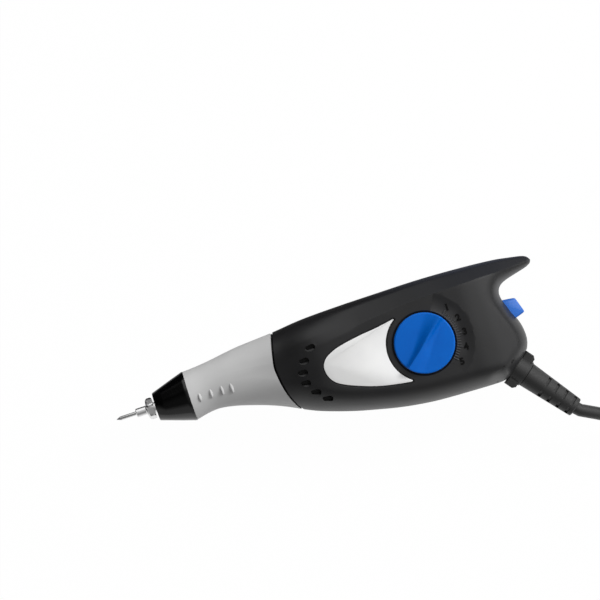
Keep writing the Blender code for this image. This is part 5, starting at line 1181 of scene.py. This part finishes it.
# Cord guard: a winged base in the housing's end and a slotted, tapering sleeve.
def guard_piece():
    end, mid = GUARD_BASE / 2 + GUARD_LENGTH, GUARD_BASE / 2
    hole, edge, neck, collar = CORD_R + 0.1 * MM, 0.35 * MM, GUARD_NECK_R, GUARD_COLLAR_R
    base = [(-GUARD_BASE, 0), (-GUARD_BASE, neck), (-GUARD_BACK, neck), (-GUARD_BACK, collar),
            (mid - 2 * edge, collar), (mid - edge, collar - edge / 3), (mid - edge / 2, GUARD_R - edge / 2)]
    sleeve_line = [(mid, GUARD_R), (end - edge, GUARD_TIP_R), (end, GUARD_TIP_R - edge), (end, hole),
                   (end - GUARD_TIP_HOLE, hole), (end - GUARD_TIP_HOLE, 0)]
    thick = GUARD_WING_THICK / 2
    steps = ((edge, -thick), (0.0, edge - thick), (0.0, thick - edge), (edge, thick))
    wings = layered([(wing_outline(-drop, GUARD_WING_FRONT - drop), z) for drop, z in steps])
    slots = []
    slot_size = Matrix.Diagonal((GUARD_SLOT_WIDTH, GUARD_SLOT_LENGTH, 2 * SLOT_DEEP, 1))
    for row in range(4):
        turn = Matrix.Rotation(GUARD_SLOT_TURN + row * math.pi / 2, 4, "X")
        for k in range(GUARD_SLOTS):
            x = mid + GUARD_SLOT_START + GUARD_PITCH * k
            r = GUARD_R + (GUARD_TIP_R - GUARD_R) * (x - mid) / GUARD_LENGTH
            slots.append(turn @ Matrix.Translation((x, 0, r)) @ slot_size)
    combs = []
    end_size = Matrix.Diagonal((WING_GROOVE, 2 * WING_GROOVE, 4 * thick, 1))
    face_size = Matrix.Diagonal((WING_GROOVE, 2 * (GUARD_WING_R - GUARD_COLLAR_R), 2 * WING_GROOVE, 1))
    for side in (1, -1):
        for k in range(WING_GROOVES):
            x = GUARD_WING_FRONT - WING_PITCH * (k + 0.5)
            combs.append(Matrix.Translation((x, side * GUARD_WING_R, 0)) @ end_size)
            combs += [Matrix.Translation((x, side * GUARD_WING_R, up * thick)) @ face_size for up in (1, -1)]
    cutters = [linked(f"{name}_cutter", repeated(name, unit_cube(), spots, RUBBER))
               for name, spots in (("guard_slots", slots), ("wing_grooves", combs))]
    mesh = cut(turned(base + sleeve_line, 96), "guard_sleeve", *cutters, join=(wings,))
    mesh.transform(TO_WORLD @ GUARD_LIE)
    return piece("cord_guard_slotted", mesh, RUBBER, "housing", "cord_guard", slot="guard_rubber")


# Plug: a moulded body with two blades.
PLUG_SIDES = 64
NECK_EDGE, PLUG_EDGE = 0.4 * MM, 0.6 * MM
BLADE_TIP = 1.4 * MM


def plug_pieces():
    x0, mid = PLUG_AT[0] - FIT, PLUG_THICK / 2 - HALF_WIDTH
    neck, wide, thick, power = PLUG_NECK_R, PLUG_WIDTH / 2, PLUG_THICK / 2, PLUG_POWER
    # Along the plug: how far, half its width, half its thickness and how square it is there.
    knots = np.array(((0, neck - NECK_EDGE, neck - NECK_EDGE, 2), (NECK_EDGE, neck, neck, 2),
                      (PLUG_NECK, neck, neck, 2), (PLUG_FLARE, PLUG_WIDTH / 3, PLUG_FLARE_Z, power - 1),
                      (PLUG_WAIST, PLUG_WAIST_Y, thick, power),
                      (PLUG_LENGTH - PLUG_EDGE, wide, thick, power + 1),
                      (PLUG_LENGTH, wide - PLUG_EDGE, thick - PLUG_EDGE, power + 1)))
    fine = np.unique(np.concatenate([np.linspace(0, PLUG_LENGTH, 40), knots[:, 0]]))
    columns = [smooth(list(zip(knots[:, 0], knots[:, k])), fine) for k in (1, 2, 3)]
    turn = [2 * math.pi * k / PLUG_SIDES for k in range(PLUG_SIDES)]

    def drawn(half, value, square):
        return half * math.copysign(abs(value) ** (2 / square), value)
    bm = loft([[(x0 - x, PLUG_AT[1] + drawn(y, math.cos(a), square), mid + drawn(z, math.sin(a), square))
                for a in turn] for x, y, z, square in zip(fine, *columns)])
    made = [piece("plug_moulded", world(bm), RUBBER, "housing", "plug_body", slot="guard_rubber")]
    x1, half = x0 - PLUG_LENGTH - FIT, BLADE_WIDTH / 2
    end = x1 - BLADE_LENGTH
    upper = [(x1, half), (end + BLADE_TIP, half), (end + 0.5 * MM, half - BLADE_TIP / 2),
             (end, half - BLADE_TIP)]
    outline = [(x, -z) for x, z in upper] + upper[::-1]
    for number, side in ((1, 1), (2, -1)):
        blade = layered([(outline, z) for z in (-BLADE_THICK / 2, BLADE_THICK / 2)])
        seat = Matrix.Translation((0, PLUG_AT[1] + side * BLADE_SPACING / 2, mid))
        blade.transform(seat @ Matrix.Rotation(math.pi / 2, 4, "X"))
        made.append(piece(f"plug_blade_{number}_plated", world(blade), SCREW, "housing",
                          f"plug_blade_{number}", slot="bright_steel"))
    return made


# Screws on the hidden side, with a cross recess.
CROSS_LONG, CROSS_WIDE, CROSS_DEEP = 1.3 * MM, 0.28 * MM, 0.9 * MM


def screw_pieces():
    seat = SCREW_SEAT + FIT
    end = seat + SCREW_HEAD
    for number, shares in enumerate(SCREW_SHARES, 1):
        head = turned([(end, 0), (end, SCREW_CROWN_R - 0.3 * MM), (end - 0.15 * MM, SCREW_CROWN_R),
                       (seat + SCREW_HEAD / 2, SCREW_HEAD_R), (seat, SCREW_HEAD_R), (seat, SCREW_R),
                       (-SCREW_SEAT, SCREW_R), (-SCREW_SEAT, 0)], 40)
        cross = [box_at((end - CROSS_DEEP, -a, -b), (end + OVER, a, b))
                 for a, b in ((CROSS_LONG, CROSS_WIDE), (CROSS_WIDE, CROSS_LONG))]
        mesh = cut(head, f"screw_{number}", *cross)
        seated = Matrix.Translation((*place(shares), 0)) @ Matrix.Rotation(math.pi / 2, 4, "Y")
        mesh.transform(TO_WORLD @ seated)
        piece(f"cross_screw_{number}", mesh, SCREW, "housing", f"housing_screw_{number}", slot="bright_steel")


cord_made, cord_exit, cord_length = cord_piece()
plug_made = plug_pieces()
guard_made = guard_piece()
housing_half(1)
housing_half(-1)
grip_piece()
cap_piece()
chuck_piece()
point_piece()
dial_piece()
number_pieces()
tick_pieces()
plate_piece()
switch_piece()
screw_pieces()

# Solids that stay as they are: what is inside, and the spindle.
for look, nodes in (
        (STEEL, ("spindle", "armature_pin")),
        (SCREW, ("return_spring", "core_rivet_1", "core_rivet_2", "dial_clip", "stroke_spring",
                 "clamp_screw_1", "clamp_screw_2")),
        (BRONZE, ("front_bush", "rear_bush")),
        (LAMINATION, ("field_core", "armature")),
        (COPPER, ("field_winding",)),
        (NYLON, ("coil_bobbin", "dial_cam", "cam_follower", "cord_clamp")),
        (HOUSING, ("switch_body",)),
        (CORD, ("cord_inner",))):
    for node in nodes:
        keep(node, look)


# Stage: a white bench with a painted dark, bluish reflection patch, a panel overhead, a small lamp by the
# tail, and a room that is bright at its sides.
RIGHT, UP = Vector((0.951, -0.309, 0.0)), Vector((0.309, 0.951, 0.0))  # of the picture
BENCH_SIZE, BENCH_DROP = 6.0, 0.0005
BENCH_SEEN = 0.985  # how white the camera sees the bench
# Tones of the painted reflection patch, dark by the nose and bluish by the tail.
PAINTED_REFLECTION_NOSE_END, PAINTED_REFLECTION_TAIL_END = (0.006, 0.006, 0.008, 1), (0.11, 0.13, 0.20, 1)  # of the patch: by the nose, by the tail


def stage():
    """White to the camera, and in gloss too, but for a painted reflection: a dark, bluish patch near the tool
    beyond the spine that only gloss sees, which the far edges show.
    """
    bpy.ops.mesh.primitive_plane_add(size=BENCH_SIZE, location=(0, 0, -BENCH_DROP))
    floor = bpy.context.object
    floor.name = "bench"
    made, tree, shader = finish_node("white_bench_with_painted_reflection", 0.8, Base_Color=hexa("#e2e2e2"))
    spot = add(tree, "ShaderNodeSeparateXYZ", i0=add(tree, "ShaderNodeTexCoord").outputs["Object"])
    x, y = spot.outputs[0], spot.outputs[1]
    path = add(tree, "ShaderNodeLightPath")
    by_camera, by_gloss, by_glass = (path.outputs[f"Is {kind} Ray"]
                                     for kind in ("Camera", "Glossy", "Transmission"))
    # Painted reflection: near the tool beyond the spine, gloss sees the bench dark, and bluish towards the
    # tail.
    past = ramp(tree, y, 0.0, 0.04)
    where = combined(tree, "MAXIMUM", ramp(tree, y, 0.22, 0.16), ramp(tree, x, -0.04, -0.10))
    painted_reflection_mask = combined(tree, "MULTIPLY", combined(tree, "MULTIPLY", past, where), by_gloss)
    painted_reflection_tone = add(tree, "ShaderNodeMix", {"data_type": "RGBA", 6: PAINTED_REFLECTION_NOSE_END, 7: PAINTED_REFLECTION_TAIL_END},
               i0=ramp(tree, x, 0.02, 0.07)).outputs[2]
    glow_and_painted_reflection = add(tree, "ShaderNodeMix", {"data_type": "RGBA", 6: (1, 1, 1, 1)}, i0=painted_reflection_mask, i7=painted_reflection_tone)
    glow = add(tree, "ShaderNodeEmission", {"Strength": 1.0}, Color=glow_and_painted_reflection.outputs[2])
    seen = add(tree, "ShaderNodeMath", {"operation": "MULTIPLY", 1: BENCH_SEEN}, i0=by_camera).outputs[0]
    share = combined(tree, "MAXIMUM", seen, combined(tree, "MAXIMUM", by_gloss, by_glass))
    both = add(tree, "ShaderNodeMixShader", i0=share, i1=shader.outputs[0], i2=glow.outputs[0])
    tree.links.new(both.outputs[0], tree.nodes["Material Output"].inputs["Surface"])
    floor.data.materials.append(made)


def light(name, at, size, power, towards=(0.0, 0.0, 0.02)):
    data = bpy.data.lights.new(name, "AREA")
    data.shape = "RECTANGLE"
    data.size, data.size_y = size
    data.energy = power
    made = linked(name, data)
    made.location = at
    made.rotation_euler = (Vector(towards) - Vector(at)).to_track_quat("-Z", "Y").to_euler()
    return made


def room():
    """Bright towards the tail and beyond the spine, dark towards the nose, light low on the near side."""
    sky = bpy.data.worlds.new("room")
    bpy.context.scene.world = sky
    sky.use_nodes = True
    tree = sky.node_tree
    way = add(tree, "ShaderNodeTexCoord").outputs["Generated"]
    height = add(tree, "ShaderNodeSeparateXYZ", i0=way).outputs[2]
    dots = (add(tree, "ShaderNodeVectorMath", {"operation": "DOT_PRODUCT", 1: axis}, i0=way)
            for axis in (UP, RIGHT))
    far, along = (dot.outputs["Value"] for dot in dots)
    parts = (((height, 0.70, 0.50), (far, -0.10, -0.60, 0.0, 0.50)),
             ((along, -0.7, 0.7, 0.0, 1.3), (far, -0.55, 0.45, 0.3, 1.4)),
             ((far, 0.22, 0.55, 0.0, 1.2), (along, -0.74, -0.60)))
    low_near, slope, band = (combined(tree, "MULTIPLY", ramp(tree, *one), ramp(tree, *two))
                             for one, two in parts)
    level = combined(tree, "MAXIMUM", combined(tree, "MAXIMUM", low_near, slope), band)
    tree.links.new(level, tree.nodes["Background"].inputs["Strength"])
    tree.nodes["Background"].inputs["Color"].default_value = (1, 1, 1, 1)


stage()
key = light("key_panel_upper_right", UP * 0.95 + RIGHT * 1.1 + Vector((0, 0, 1.05)), (0.5, 0.5), 22.5)
key.visible_glossy = False  # the photograph's gloss shows no lamp above
lamp = light("soft_lamp_by_the_tail", (0.160, 0.055, 0.17), (0.08, 0.08), 0.05, towards=(0.08, 0.006, 0.04))
lamp.visible_camera = False
room()
bpy.context.scene.view_settings.view_transform = "Standard"
